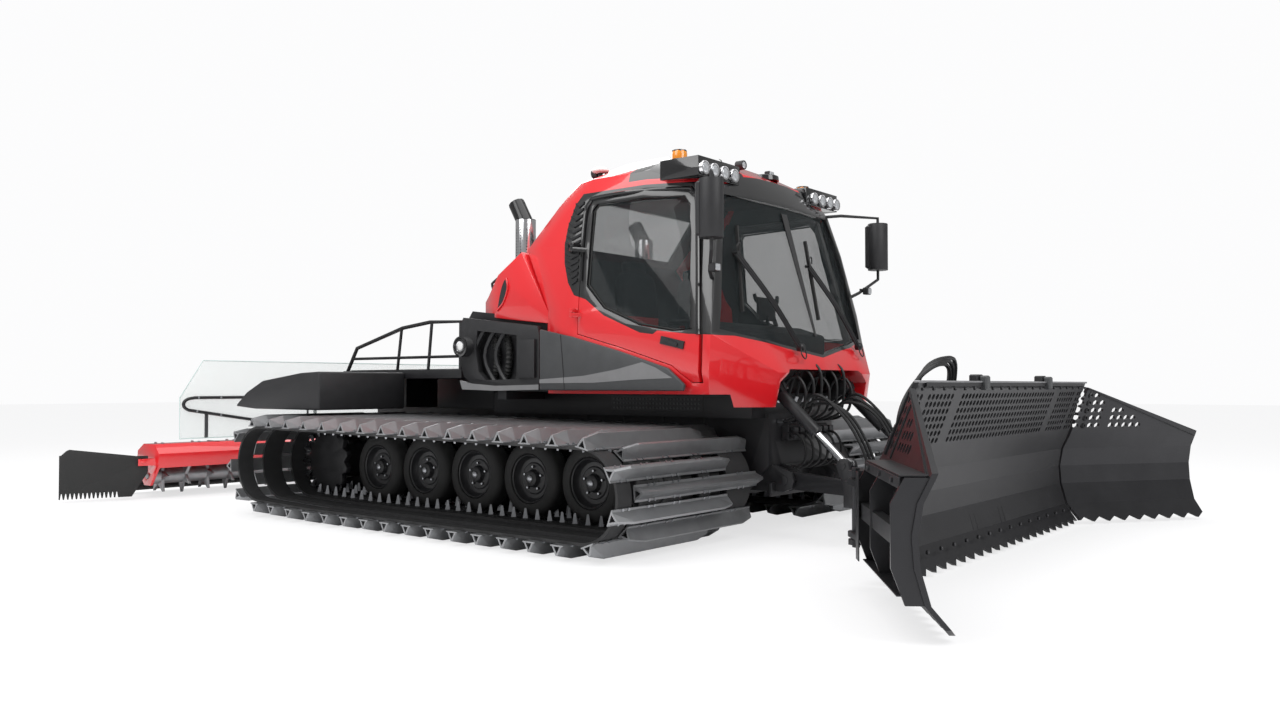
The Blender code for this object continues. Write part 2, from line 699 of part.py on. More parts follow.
BAY_OUTLINE = [(-0.36, 1.40), (-0.33, 1.62), (-0.29, 1.675), (0.57, 1.575), (0.59, 1.50), (0.59, 1.07),
               (-0.10, 1.075), (-0.28, 1.18)]
BAY_OPENING = [(-0.14, 1.40), (-0.12, 1.56), (0.34, 1.51), (0.34, 1.16), (-0.02, 1.15), (-0.10, 1.22)]
HOOP_X = (-0.06, 0.07, 0.20)
HOOP_R = 0.020
HOOP_BOW = 0.12
HOOP_SPAN = (1.14, 1.56)
LAMP_AT = (-0.24, 1.43)
LAMP_R = 0.085
TOOL_BOX = ((0.37, 1.17), (0.56, 1.47))
BRACKET_X = 0.10
BRACKET_H = 0.05
FAIRING = [(0.64, 1.07), (0.64, 1.545), (0.985, 1.475), (1.42, 1.365), (1.885, 1.23), (2.03, 1.115), (2.02, 1.07)]
FAIRING_T = 0.03


def make_hood():
    reach = HOOD_SIDE * 2
    hood = boolean(prism("engine_hood", HOOD_SIDE_VIEW, -reach, reach, colour="red"),
                   prism("plan", HOOD_PLAN, DECK_TOP, STACK_TOP, "XY"), "INTERSECT")
    core = boolean(prism("core", HOOD_CORE, -reach, reach),
                   prism("plan", grown(HOOD_PLAN, -HOOD_WALL), 0.0, STACK_TOP, "XY"), "INTERSECT")
    hood = cut(hood, core)
    for side in (-1, 1):
        hood = cut(hood, rod("stack_hole", (STACK[0], side * STACK[1], DECK_TOP),
                             (STACK[0], side * STACK[1], STACK_TOP), STACK_R + SEAT_GAP, 16))
    hood.name = "engine_hood"
    pivot_at(hood, HOOD_PIVOT)
    stack = union("exhaust", [
        rod("pipe", (STACK[0], -STACK[1], STACK_FOOT), (STACK[0], -STACK[1], STACK_TOP), STACK_R, 16),
        rod("tip", (STACK[0], -STACK[1], STACK_TOP - TIP_R / 2),
            (STACK[0] - TIP_LEAN, -STACK[1], STACK_TOP + TIP_RISE), TIP_R, 12)], "chrome")
    for piece in pair(stack, "exhaust"):
        pivot_at(piece, HOOD_PIVOT)
    box("engine_block", ENGINE_LOW, ENGINE_HIGH, "steel")


def make_bay():
    y = -BAY_OUT
    pieces = [cut(prism("bay", BAY_OUTLINE, y, y + BAY_T), prism("bay_cut", BAY_OPENING, y - BAY_T, y + 2 * BAY_T))]
    low, high = HOOP_SPAN
    for x in HOOP_X:
        points = []
        for step in range(7):
            angle = math.pi * step / 6
            points.append((x - HOOP_BOW * math.sin(angle), y + BAY_T / 2, low + (high - low) * step / 6))
        pieces.append(tube("hoop", points, HOOP_R, 6))
    pieces.append(rod("lamp", (LAMP_AT[0], y + BAY_T / 2, LAMP_AT[1]),
                      (LAMP_AT[0] - BAY_T / 2, y - BAY_T, LAMP_AT[1]), LAMP_R, 14))
    (low_x, low_z), (high_x, high_z) = TOOL_BOX
    pieces.append(box("tool_box", (low_x, y - BAY_T / 2, low_z), (high_x, y + 2 * BAY_T, high_z)))
    pieces.append(box("bracket", (BRACKET_X, y + BAY_T / 2, DECK_TOP - BRACKET_H),
                      (BRACKET_X + 2 * BRACKET_H, -DECK_HALF - SEAT_GAP, DECK_TOP + BRACKET_H)))
    pair(union("side_bay", pieces, "black"), "side_bay")
    fairing = prism("side_fairing", FAIRING, -1.16 - SEAT_GAP - FAIRING_T, -1.16 - SEAT_GAP, colour="grey")
    pair(fairing, "side_fairing")


# roof lamps, mirrors and seats
POD_LOW = (1.70, -1.03, 2.60)
POD_HIGH = (2.04, -0.50, 2.74)
POD_LAMPS_Y = (0.60, 0.73, 0.86, 0.98)
POD_LAMP_R = 0.052
POD_LAMP_Z = 2.655
BEACON_AT = (1.78, 0.90)
BEACON_R = 0.055
BEACON_TOP = 2.83
MIRROR_AT = (2.31, 1.26)
MIRROR_SPAN = (2.10, 2.50)
MIRROR_R = 0.085
ARM_R = 0.014


def make_roof():
    pod = box("lamp_pod", POD_LOW, POD_HIGH)
    lamps = [rod("lamp", (POD_HIGH[0] - POD_LAMP_R, -y, POD_LAMP_Z), (POD_HIGH[0] + POD_LAMP_R / 2, -y, POD_LAMP_Z),
                 POD_LAMP_R, 8) for y in POD_LAMPS_Y]
    beacon = rod("beacon", (BEACON_AT[0], -BEACON_AT[1], POD_HIGH[2] - BEACON_R / 2),
                 (BEACON_AT[0], -BEACON_AT[1], BEACON_TOP), BEACON_R, 8)
    pod = union("lamp_pod", [pod] + lamps + [beacon], "black")
    pod = cut(pod, cab_solid("cab_space", -SEAT_GAP, 1.0))
    pair(pod, "lamp_pod")
    x, y = MIRROR_AT
    low, high = MIRROR_SPAN
    head = rod("mirror", (x, -y, low), (x, -y, high), MIRROR_R, 12)
    arm = tube("arm", [(1.98, -0.80, 2.53), (2.12, -0.95, high + 0.05), (x, -y, high + 0.05), (x, -y, high - 0.05),
                       ], ARM_R, 6)
    low_arm = tube("low_arm", [(x, -y, low + 0.05), (x, -y, low - 0.08), (2.20, -1.12, low - 0.20),
                               (2.16, -1.04, low - 0.24)], ARM_R, 6)
    mirror = cut(union("mirror", [head, arm, low_arm], "black"), cab_solid("cab_space", -SEAT_GAP, 1.0))
    pair(mirror, "mirror")


SEAT_X = (1.02, 1.52)
SEAT_HALF = 0.25
SEAT_Y = 0.42
SEAT_Z = 1.50
SEAT_BACK = 2.12


def make_seats():
    rear, front = SEAT_X
    side_view = [(rear + 0.05, FLOOR_Z + SEAT_GAP), (front - 0.10, FLOOR_Z + SEAT_GAP), (front - 0.08, SEAT_Z - 0.12),
                 (front, SEAT_Z - 0.10), (front, SEAT_Z + 0.02), (rear + 0.14, SEAT_Z), (rear + 0.02, SEAT_BACK),
                 (rear - 0.12, SEAT_BACK), (rear, SEAT_Z - 0.10)]
    seat = prism("seat", side_view, -SEAT_Y - SEAT_HALF, -SEAT_Y + SEAT_HALF, colour="seat")
    pair(seat, "seat")
    desk = prism("console", [(2.05, FLOOR_Z + SEAT_GAP), (2.05, 1.52), (1.80, 1.60), (1.72, 1.45), (1.95, 1.25),
                             (1.95, FLOOR_Z + SEAT_GAP)], -0.80, 0.80)
    desk.name = "console"


# platform behind the hood
PLATFORM_X = (-2.15, -0.47)
PLATFORM_HALF = 1.0
PLATFORM_Z = (1.17, 1.25)
RAIL_R = 0.018
RAIL_MARGIN = 0.065          # the rails stand on a strip this wide, lower than the deck by the step
RAIL_STEP = 0.006
RAIL_TOP = [(-2.14, 1.22), (-1.98, 1.46), (-1.30, 1.63), (-0.92, 1.67), (-0.52, 1.66), (-0.52, 1.22)]
RAIL_POSTS = ((-1.38, -1.32, 1.615), (-0.95, -0.90, 1.665))
RAIL_MID = 1.36
FENDER = [(-2.52, 0.92), (-2.33, 1.05), (-2.08, 1.15), (-1.50, 1.215), (-1.22, 1.225), (-1.22, 0.90), (-2.20, 0.90)]
FENDER_REACH = 1.90          # outer face of the fenders


def make_platform():
    rear, front = PLATFORM_X
    low, high = PLATFORM_Z
    margin = PLATFORM_HALF - RAIL_MARGIN
    edge = high - RAIL_STEP
    deck = prism("platform", [(-PLATFORM_HALF, low), (-PLATFORM_HALF, edge), (-margin, edge), (-margin, high),
                              (margin, high), (margin, edge), (PLATFORM_HALF, edge), (PLATFORM_HALF, low)],
                 rear, front, "YZ")
    legs = [box("leg", (x, -0.60, TUB_TOP + SEAT_GAP), (x + length, 0.60, low + BRACKET_H / 2))
            for x, length in ((-2.05, 0.35), (-1.25, 0.76))]
    union("platform", [deck] + legs, "black")
    y = -PLATFORM_HALF + 2 * RAIL_R
    rail = tube("rail", [(x, y, z) for x, z in RAIL_TOP], RAIL_R, 6)
    bars = [tube("bar", [(low_x, y, edge - RAIL_R), (high_x, y, top)], RAIL_R * 0.8, 6)
            for low_x, high_x, top in RAIL_POSTS]
    bars.append(tube("bar", [(-2.06, y, RAIL_MID), (-0.52, y, RAIL_MID)], RAIL_R * 0.8, 6))
    rail = cut(union("platform_rail", [rail] + bars, "black"),
               box("deck_space", (rear * 2, -PLATFORM_HALF * 2, low), (front, 0.0, edge + SEAT_GAP)))
    pair(rail, "platform_rail")
    fender = prism("fender", FENDER, -FENDER_REACH, -PLATFORM_HALF - SEAT_GAP)
    pair(fender, "fender")


# push frame, carrier and yoke of the blade
PUSH_PIVOT = (PUSH_X + EAR_R / 2, 0.0, PUSH_Z)
CROSS_X = (2.95, 3.07)
CROSS_Z = (0.28, 0.46)
CROSS_HALF = 0.62
SWIVEL_X = 3.25
TONGUE_R = 0.13
TONGUE_Z = (0.34, 0.42)
SWIVEL_PIN_R = 0.05
CHEEK_T = 0.05
BLOCK_X = (3.40, 3.47)
BLOCK_HALF = 0.34
BLOCK_Z = (0.20, 0.66)
YOKE_X = (3.482, 3.522)
TILT_Z = 0.43
TILT_PIN_R = 0.06
LUG_Y = 0.26
SMALL_PIN_R = 0.022
EYE_SHARE = 0.8
TONGUE_ROOT = 0.30
CHEEK_ROOT = 0.26
YOKE_OUTLINE = [(-0.36, 0.12), (-0.36, 0.42), (-0.16, 0.64), (0.16, 0.64), (0.36, 0.42), (0.36, 0.12)]
ROD_PIN = (2.93, 0.56)
ROD_PIN_R = 0.025
EYE_R = 0.05
PITCH_X = 3.585
PITCH_Z = 0.17
LUG_R = 0.045
LUG_T = 0.04


def hull(points):
    """Convex outline round the points."""
    points = sorted(points)
    sides = []
    for row in (points, points[::-1]):
        chain = []
        for point in row:
            while len(chain) > 1 and ((chain[-1][0] - chain[-2][0]) * (point[1] - chain[-2][1])
                                      <= (chain[-1][1] - chain[-2][1]) * (point[0] - chain[-2][0])):
                chain.pop()
            chain.append(point)
        sides += chain[:-1]
    return sides


def disc_outline(x, z, radius, steps=10):
    return [(x + radius * math.cos(2 * math.pi * k / steps), z + radius * math.sin(2 * math.pi * k / steps))
            for k in range(steps)]


def running_fit(pin, steps):
    """Corner radius of a many-sided hole whose flats clear a pin of the given radius."""
    return (pin + SEAT_GAP) / math.cos(math.pi / steps)


def lever(name, centre, radius, roots, low, high, pin=0.0, plane="XZ", steps=10):
    """A flat link: round about its pin, tapering to its root points, with a hole for the pin if asked."""
    thing = prism(name, hull(disc_outline(*centre, radius, steps) + roots), low, high, plane)
    if pin:
        hole = disc_outline(*centre, running_fit(pin, steps), steps)
        thing = cut(thing, prism("hole", hole, low - pin, high + pin, plane))
    return thing


def make_push_frame():
    pivot_x, _, pivot_z = PUSH_PIVOT
    pieces = [box("cross", (CROSS_X[0], -CROSS_HALF, CROSS_Z[0]), (CROSS_X[1], CROSS_HALF, CROSS_Z[1]))]
    for side in (-1, 1):
        low, high = side * PUSH_ARM_Y - PUSH_ARM_T / 2, side * PUSH_ARM_Y + PUSH_ARM_T / 2
        roots = [(CROSS_X[1] - LUG_R, CROSS_Z[1] - LUG_R), (CROSS_X[1] - LUG_R, CROSS_Z[0] + LUG_R)]
        pieces.append(lever("arm", (pivot_x, pivot_z), EAR_R * EYE_SHARE, roots, low, high, PIN_R))
    roots = [(CROSS_X[0] + LUG_R, -TONGUE_ROOT), (CROSS_X[0] + LUG_R, TONGUE_ROOT)]
    pieces.append(lever("tongue", (SWIVEL_X, 0.0), TONGUE_R, roots, TONGUE_Z[0], TONGUE_Z[1], plane="XY", steps=16))
    pieces.append(rod("swivel_pin", (SWIVEL_X, 0, BLOCK_Z[0]), (SWIVEL_X, 0, TONGUE_Z[1] + 2 * CHEEK_T), SWIVEL_PIN_R))
    roots = [(CROSS_X[0] + EAR_T, CROSS_Z[0] + EAR_T), (CROSS_X[1] - EAR_T, CROSS_Z[0] + EAR_T)]
    for side in (-1, 1):
        for offset in (-1, 1):
            middle = side * CYL_Y + offset * (ROD_EYE / 2 + EAR_GAP + EAR_T / 2)
            pieces.append(lever("rod_ear", ROD_PIN, EYE_R, roots, middle - EAR_T / 2, middle + EAR_T / 2))
        half = ROD_EYE / 2 + EAR_GAP + EAR_T + EAR_GAP
        pieces.append(rod("rod_pin", (ROD_PIN[0], side * CYL_Y - half, ROD_PIN[1]),
                          (ROD_PIN[0], side * CYL_Y + half, ROD_PIN[1]), ROD_PIN_R, 8))
    pivot_at(union("push_frame", pieces, "black"), PUSH_PIVOT)


def make_carrier():
    pieces = [box("block", (BLOCK_X[0], -BLOCK_HALF, BLOCK_Z[0]), (BLOCK_X[1], BLOCK_HALF, BLOCK_Z[1]))]
    roots = [(BLOCK_X[0] + EAR_T, -CHEEK_ROOT), (BLOCK_X[0] + EAR_T, CHEEK_ROOT)]
    for low in (TONGUE_Z[0] - EAR_GAP - CHEEK_T, TONGUE_Z[1] + EAR_GAP):
        pieces.append(lever("cheek", (SWIVEL_X, 0.0), TONGUE_R * EYE_SHARE, roots, low, low + CHEEK_T,
                            SWIVEL_PIN_R, "XY", 16))
    pieces.append(rod("tilt_pin", (BLOCK_X[0] + EAR_T, 0, TILT_Z), (YOKE_X[1] + EAR_GAP, 0, TILT_Z), TILT_PIN_R, 16))
    pivot_at(union("blade_carrier", pieces, "black"), (SWIVEL_X, 0, TILT_Z))


def make_yoke():
    low_x, high_x = YOKE_X
    plate = prism("plate", YOKE_OUTLINE, low_x, high_x, "YZ")
    pieces = [cut(plate, rod("hole", (BLOCK_X[0], 0, TILT_Z), (PITCH_X, 0, TILT_Z), running_fit(TILT_PIN_R, 16), 16))]
    roots = [(high_x - EAR_GAP, PITCH_Z - LUG_R / 2), (high_x - EAR_GAP, PITCH_Z + LUG_R * 2)]
    for y in (-LUG_Y, LUG_Y):
        pieces.append(lever("lug", (PITCH_X, PITCH_Z), LUG_R, roots, y - LUG_T / 2, y + LUG_T / 2))
        half = LUG_T / 2 + EAR_GAP + RIB_T + EAR_GAP
        pieces.append(rod("pitch_pin", (PITCH_X, y - half, PITCH_Z), (PITCH_X, y + half, PITCH_Z), SMALL_PIN_R, 8))
    pivot_at(union("blade_yoke", pieces, "black"), (low_x, 0, TILT_Z))


# blade and wings
BLADE_HALF = 1.72
BLADE_T = 0.028
MOLDBOARD = [(3.815, 0.060), (3.73, 0.16), (3.685, 0.32), (3.675, 0.46), (3.70, 0.60), (3.755, 0.71), (3.92, 1.135)]
WING_X = 3.60
WING_ANGLE = 35.0
WING_LENGTH = 1.32
FOLD_HALF = 22.5
FOLD_GAP = 0.004
TOOTH_DROP = 0.038
EDGE_TOOTH = 0.15
HINGE_PIN_R = 0.022
HINGE_Z = ((0.24, 0.62), (0.285, 0.575))      # the blade's two ears, then the wing's
HINGE_T = 0.03
RIB_T = 0.02
RIB_BACK_X = 3.56
WING_TIP_Z = 0.70


def blade_plate(name, start, stop):
    """The curved plate between two places along Y, its foot cut into saw teeth."""
    teeth = max(1, round((stop - start) / EDGE_TOOTH))
    marks = [start + (stop - start) * k / (2 * teeth) for k in range(2 * teeth + 1)]
    (foot_x, foot_z), (knee_x, knee_z) = MOLDBOARD[0], MOLDBOARD[1]
    lean = (foot_x - knee_x) / (knee_z - foot_z)
    shape = bmesh.new()
    feet, knees, rims = [], [], []
    for back in (0.0, BLADE_T):
        feet.append([shape.verts.new((foot_x - back + (k % 2) * TOOTH_DROP * lean, y,
                                      foot_z - (k % 2) * TOOTH_DROP)) for k, y in enumerate(marks)])
        knees.append([shape.verts.new((knee_x - back, y, knee_z)) for y in marks])
        rims.append([[shape.verts.new((x - back, y, z)) for y in (start, stop)] for x, z in MOLDBOARD[2:]])
    for foot, knee, rim in zip(feet, knees, rims):
        for k in range(2 * teeth):
            shape.faces.new((foot[k], foot[k + 1], knee[k + 1], knee[k]))
        shape.faces.new(knee + [rim[0][1], rim[0][0]])
        for low, high in zip(rim, rim[1:]):
            shape.faces.new((low[0], low[1], high[1], high[0]))
    for k in range(2 * teeth):
        shape.faces.new((feet[0][k], feet[0][k + 1], feet[1][k + 1], feet[1][k]))
    shape.faces.new((rims[0][-1][0], rims[0][-1][1], rims[1][-1][1], rims[1][-1][0]))
    for end in (0, -1):
        front, rear = ([feet[n][end], knees[n][end]] + [rim[end] for rim in rims[n]] for n in (0, 1))
        shape.faces.new(front + rear[::-1])
    mesh = bpy.data.meshes.new(name)
    shape.to_mesh(mesh)
    shape.free()
    outward(mesh)
    return link_mesh(name, mesh, "steel")


def rib(y):
    back = [(x - BLADE_T / 2, z) for x, z in MOLDBOARD[1:6]]
    outline = back + [(RIB_BACK_X + 0.06, MOLDBOARD[5][1]), (RIB_BACK_X, MOLDBOARD[4][1]),
                      (RIB_BACK_X, MOLDBOARD[2][1]), (RIB_BACK_X + 0.06, MOLDBOARD[1][1])]
    return prism("rib", outline, y - RIB_T / 2, y + RIB_T / 2)


def hinge_ears(side, toward, levels, hole):
    """Flat ears from the back of a plate to the wing's hinge pin; toward is the plate's direction along Y."""
    pieces = []
    y = side * BLADE_HALF
    for z in levels:
        outline = [(WING_X - LUG_R, y), (WING_X - LUG_R * 0.7, y - toward * LUG_R * 0.7), (WING_X, y - toward * LUG_R),
                   (WING_X + LUG_R * 0.7, y - toward * LUG_R * 0.7), (WING_X + LUG_R, y),
                   (WING_X + 0.085, y + toward * 0.22), (WING_X + 0.085, y + toward * 0.345),
                   (WING_X, y + toward * 0.345)]
        ear = prism("ear", outline, z - HINGE_T / 2, z + HINGE_T / 2, "XY")
        if hole:
            ear = cut(ear, rod("hole", (WING_X, y, z - 0.1), (WING_X, y, z + 0.1), running_fit(HINGE_PIN_R, 12), 12))
        pieces.append(ear)
    return pieces


def fold_wedge(side, toward):
    """Plan outline of what is cut from a plate's end so that the wing can fold forward."""
    y = side * BLADE_HALF
    reach = 0.6
    lean = math.tan(math.radians(FOLD_HALF))
    return [(WING_X - reach, y + toward * FOLD_GAP), (WING_X, y + toward * FOLD_GAP),
            (WING_X + reach, y + toward * (FOLD_GAP + reach * lean)),
            (WING_X + reach, y - toward * reach), (WING_X - reach, y - toward * reach)]


def make_blade():
    plate = blade_plate("plate", -BLADE_HALF, BLADE_HALF)
    for side in (-1, 1):
        plate = cut(plate, prism("wedge", fold_wedge(side, -side), -0.5, 2.0, "XY"))
    pieces = [plate]
    pieces += [rib(y) for y in (-1.42, -0.95, 0.95, 1.42)]
    pieces.append(box("back_beam", (RIB_BACK_X + EAR_GAP, -1.47, 0.40), (RIB_BACK_X + 0.07, 1.47, 0.52)))
    pieces.append(rod("top_tube", (MOLDBOARD[6][0] - BLADE_T / 2, -1.50, MOLDBOARD[6][1] - 0.02),
                      (MOLDBOARD[6][0] - BLADE_T / 2, 1.50, MOLDBOARD[6][1] - 0.02), 0.022, 6))
    for side in (-1, 1):
        pieces += hinge_ears(side, -side, HINGE_Z[0], False)
        pieces.append(rod("hinge_pin", (WING_X, side * BLADE_HALF, HINGE_Z[0][0] - HINGE_T),
                          (WING_X, side * BLADE_HALF, HINGE_Z[0][1] + HINGE_T), HINGE_PIN_R, 12))
    roots = [(PITCH_X + 0.15, PITCH_Z - LUG_R / 2), (PITCH_X + 0.118, PITCH_Z + 2 * LUG_R)]
    for y in (-LUG_Y, LUG_Y):
        for offset in (-1, 1):
            middle = y + offset * (LUG_T / 2 + EAR_GAP + RIB_T / 2)
            pieces.append(lever("lug", (PITCH_X, PITCH_Z), LUG_R, roots, middle - RIB_T / 2, middle + RIB_T / 2,
                                SMALL_PIN_R))
    pivot_at(union("blade_center", pieces, "steel"), (PITCH_X, 0, PITCH_Z))
    y = -BLADE_HALF
    end = y - WING_LENGTH
    wing = cut(blade_plate("wing", end, y), prism("wedge", fold_wedge(-1, -1), -0.5, 2.0, "XY"),
               prism("slope", [(end - 0.1, WING_TIP_Z), (y - 0.10, 1.10), (y + 0.5, 1.30), (y + 0.5, 2.0),
                               (end - 0.1, 2.0)], 3.0, 4.5, "YZ"))
    pieces = [wing] + [rib(end + 0.02), rib(y - 0.75), rib(y - 0.34)] + hinge_ears(-1, -1, HINGE_Z[1], True)
    pieces.append(box("back_beam", (RIB_BACK_X + EAR_GAP, end + 0.02, 0.42), (RIB_BACK_X + 0.06, y - 0.32, 0.50)))
    wing = union("wing", pieces, "steel")
    turned(wing, WING_ANGLE, (0, 0, 1), (WING_X, -BLADE_HALF, 0))
    for piece in pair(wing, "wing"):
        side = -1 if piece.name.endswith("right") else 1
        pivot_at(piece, (WING_X, side * BLADE_HALF, HINGE_Z[0][0]))


# lift cylinders
CYL_TOP = (2.36, 1.09)
BARREL_R = 0.045
BORE_R = 0.0295
CYL_ROD_R = 0.028
BARREL_LENGTH = 0.465
BORE_START = 0.12
ROD_INSIDE = 0.37
EYE_PLAY = 0.003             # the eye's hole is wider than its pin, as the rod follows the lift in a fixed ratio


def make_cylinders():
    start = Vector((CYL_TOP[0], -CYL_Y, CYL_TOP[1]))
    stop = Vector((ROD_PIN[0], -CYL_Y, ROD_PIN[1]))
    along = (stop - start).normalized()
    half = ROD_EYE / 2
    across = Vector((-along.z, 0, along.x)) * CYL_ROD_R
    inside = start + along * (BORE_START - EAR_GAP)
    roots = [(point.x, point.z) for point in (inside + across, inside - across)]
    barrel = union("barrel", [
        rod("tube", start + along * (CYL_EAR_R + EAR_GAP), start + along * BARREL_LENGTH, BARREL_R),
        lever("eye", CYL_TOP, EYE_R, roots, -CYL_Y - half, -CYL_Y + half, PIN_R)], "black")
    barrel = cut(barrel, rod("bore", start + along * BORE_START, stop, BORE_R))
    ram = union("ram", [
        rod("ram", start + along * ROD_INSIDE, stop - along * ROD_PIN_R * 1.4, CYL_ROD_R),
        lever("eye", ROD_PIN, EYE_R, [], -CYL_Y - half, -CYL_Y + half, ROD_PIN_R + EYE_PLAY)], "chrome")
    for thing, base in ((barrel, "lift_cylinder"), (ram, "lift_rod")):
        for piece in pair(thing, base):
            side = -1 if piece.name.endswith("right") else 1
            pivot_at(piece, (CYL_TOP[0], side * CYL_Y, CYL_TOP[1]))


# rear tiller
TILT_AXIS = (-3.60, 0.42)
TILLER_ARM_END = -3.45
CROSS_REACH = 1.0
CROSS_BAR_Z = (0.36, 0.48)
TILT_LUG_Y = 0.85
TILLER_HALF = 2.0
TILLER_HOOD = [(-3.73, 0.30), (-3.71, 0.44), (-3.80, 0.53), (-4.02, 0.53), (-4.14, 0.46), (-4.17, 0.30)]
TILLER_WALL = 0.022
SHAFT_AT = (-3.94, 0.215)
SHAFT_CORE = 0.085
SHAFT_TIP = 0.185
SHAFT_STUB = 0.03
END_T = 0.025
DISC_T = 0.03
DISCS = 17
DISC_TEETH = 6
COMB = [(-4.1441, 0.44), (-4.18, 0.44), (-4.33, 0.32), (-4.42, 0.13), (-4.535, 0.045), (-4.535, 0.02),
        (-4.40, 0.095), (-4.31, 0.275), (-4.1591, 0.36)]
GUARD_X = -3.315
GUARD_T = 0.010
GUARD_RAIL_HALF = TILLER_HALF - 0.1
GUARD_RAIL_Z = 0.82
GUARD_POSTS_Y = (-1.5, -0.5, 0.5, 1.5)
POST_LINE = [(-3.82, 0.42), (-3.76, 0.51), (-3.66, 0.60), (-3.42, 0.66)]
POST_TOP = 1.0
GUARD_CORNER = 0.23          # the sheet's upper corners are cut off over this width
GUARD = [(-TILLER_HALF, 0.60), (-TILLER_HALF, 0.99), (-TILLER_HALF + GUARD_CORNER, 1.35),
         (TILLER_HALF - GUARD_CORNER, 1.35), (TILLER_HALF, 0.99), (TILLER_HALF, 0.60)]
FLAP_PIVOT = (-3.86, TILLER_HALF + 0.085, 0.37)
FLAP_EDGE = 0.045            # from the pivot in to the flap's inner edge
FLAP = [(0.0, 0.26), (0.0, 0.42), (0.10, 0.42), (0.68, 0.50), (0.76, 0.45), (0.76, 0.03), (0.14, 0.03)]
FLAP_T = 0.03
FLAP_SWEEP = 20.0


def toothed_shaft():
    """The tiller's shaft: a round core with discs of teeth, every second disc turned by half a tooth."""
    x, z = SHAFT_AT
    count = 2 * DISC_TEETH
    shape = bmesh.new()

    def ring(y, radius):
        return [shape.verts.new((x + radius * math.cos(2 * math.pi * k / count), y,
                                 z + radius * math.sin(2 * math.pi * k / count))) for k in range(count)]

    def band(first, second):
        for k in range(count):
            n = (k + 1) % count
            shape.faces.new((first[k], first[n], second[n], second[k]))

    end = TILLER_HALF - END_T - EAR_GAP
    outer = ring(-TILLER_HALF - EAR_GAP, SHAFT_STUB)
    shape.faces.new(outer)
    inner = ring(-end, SHAFT_STUB)
    core = ring(-end, SHAFT_CORE)
    band(outer, inner)
    band(inner, core)
    pitch = 2 * (end - SHAFT_CORE) / (DISCS - 1)
    for disc in range(DISCS):
        centre = -end + SHAFT_CORE + pitch * disc
        low, high = ring(centre - DISC_T / 2, SHAFT_CORE), ring(centre + DISC_T / 2, SHAFT_CORE)
        band(core, low)
        tips_low, tips_high = ring(centre - DISC_T / 2, SHAFT_TIP), ring(centre + DISC_T / 2, SHAFT_TIP)
        for k in range(count):
            if k % 2 != disc % 2:
                shape.verts.remove(tips_low[k])
                shape.verts.remove(tips_high[k])
                continue
            before, after = k - 1, (k + 1) % count
            shape.faces.new((low[before], low[k], low[after], tips_low[k]))
            shape.faces.new((high[before], high[k], high[after], tips_high[k]))
            shape.faces.new((low[before], tips_low[k], tips_high[k], high[before]))
            shape.faces.new((tips_low[k], low[after], high[after], tips_high[k]))
        core = high
    last = ring(end, SHAFT_CORE)
    band(core, last)
    inner = ring(end, SHAFT_STUB)
    band(last, inner)
    outer = ring(TILLER_HALF + EAR_GAP, SHAFT_STUB)
    band(inner, outer)
    shape.faces.new(outer)
    mesh = bpy.data.meshes.new("tiller_shaft")
    shape.to_mesh(mesh)
    shape.free()
    outward(mesh)
    return link_mesh("tiller_shaft", mesh, "track")


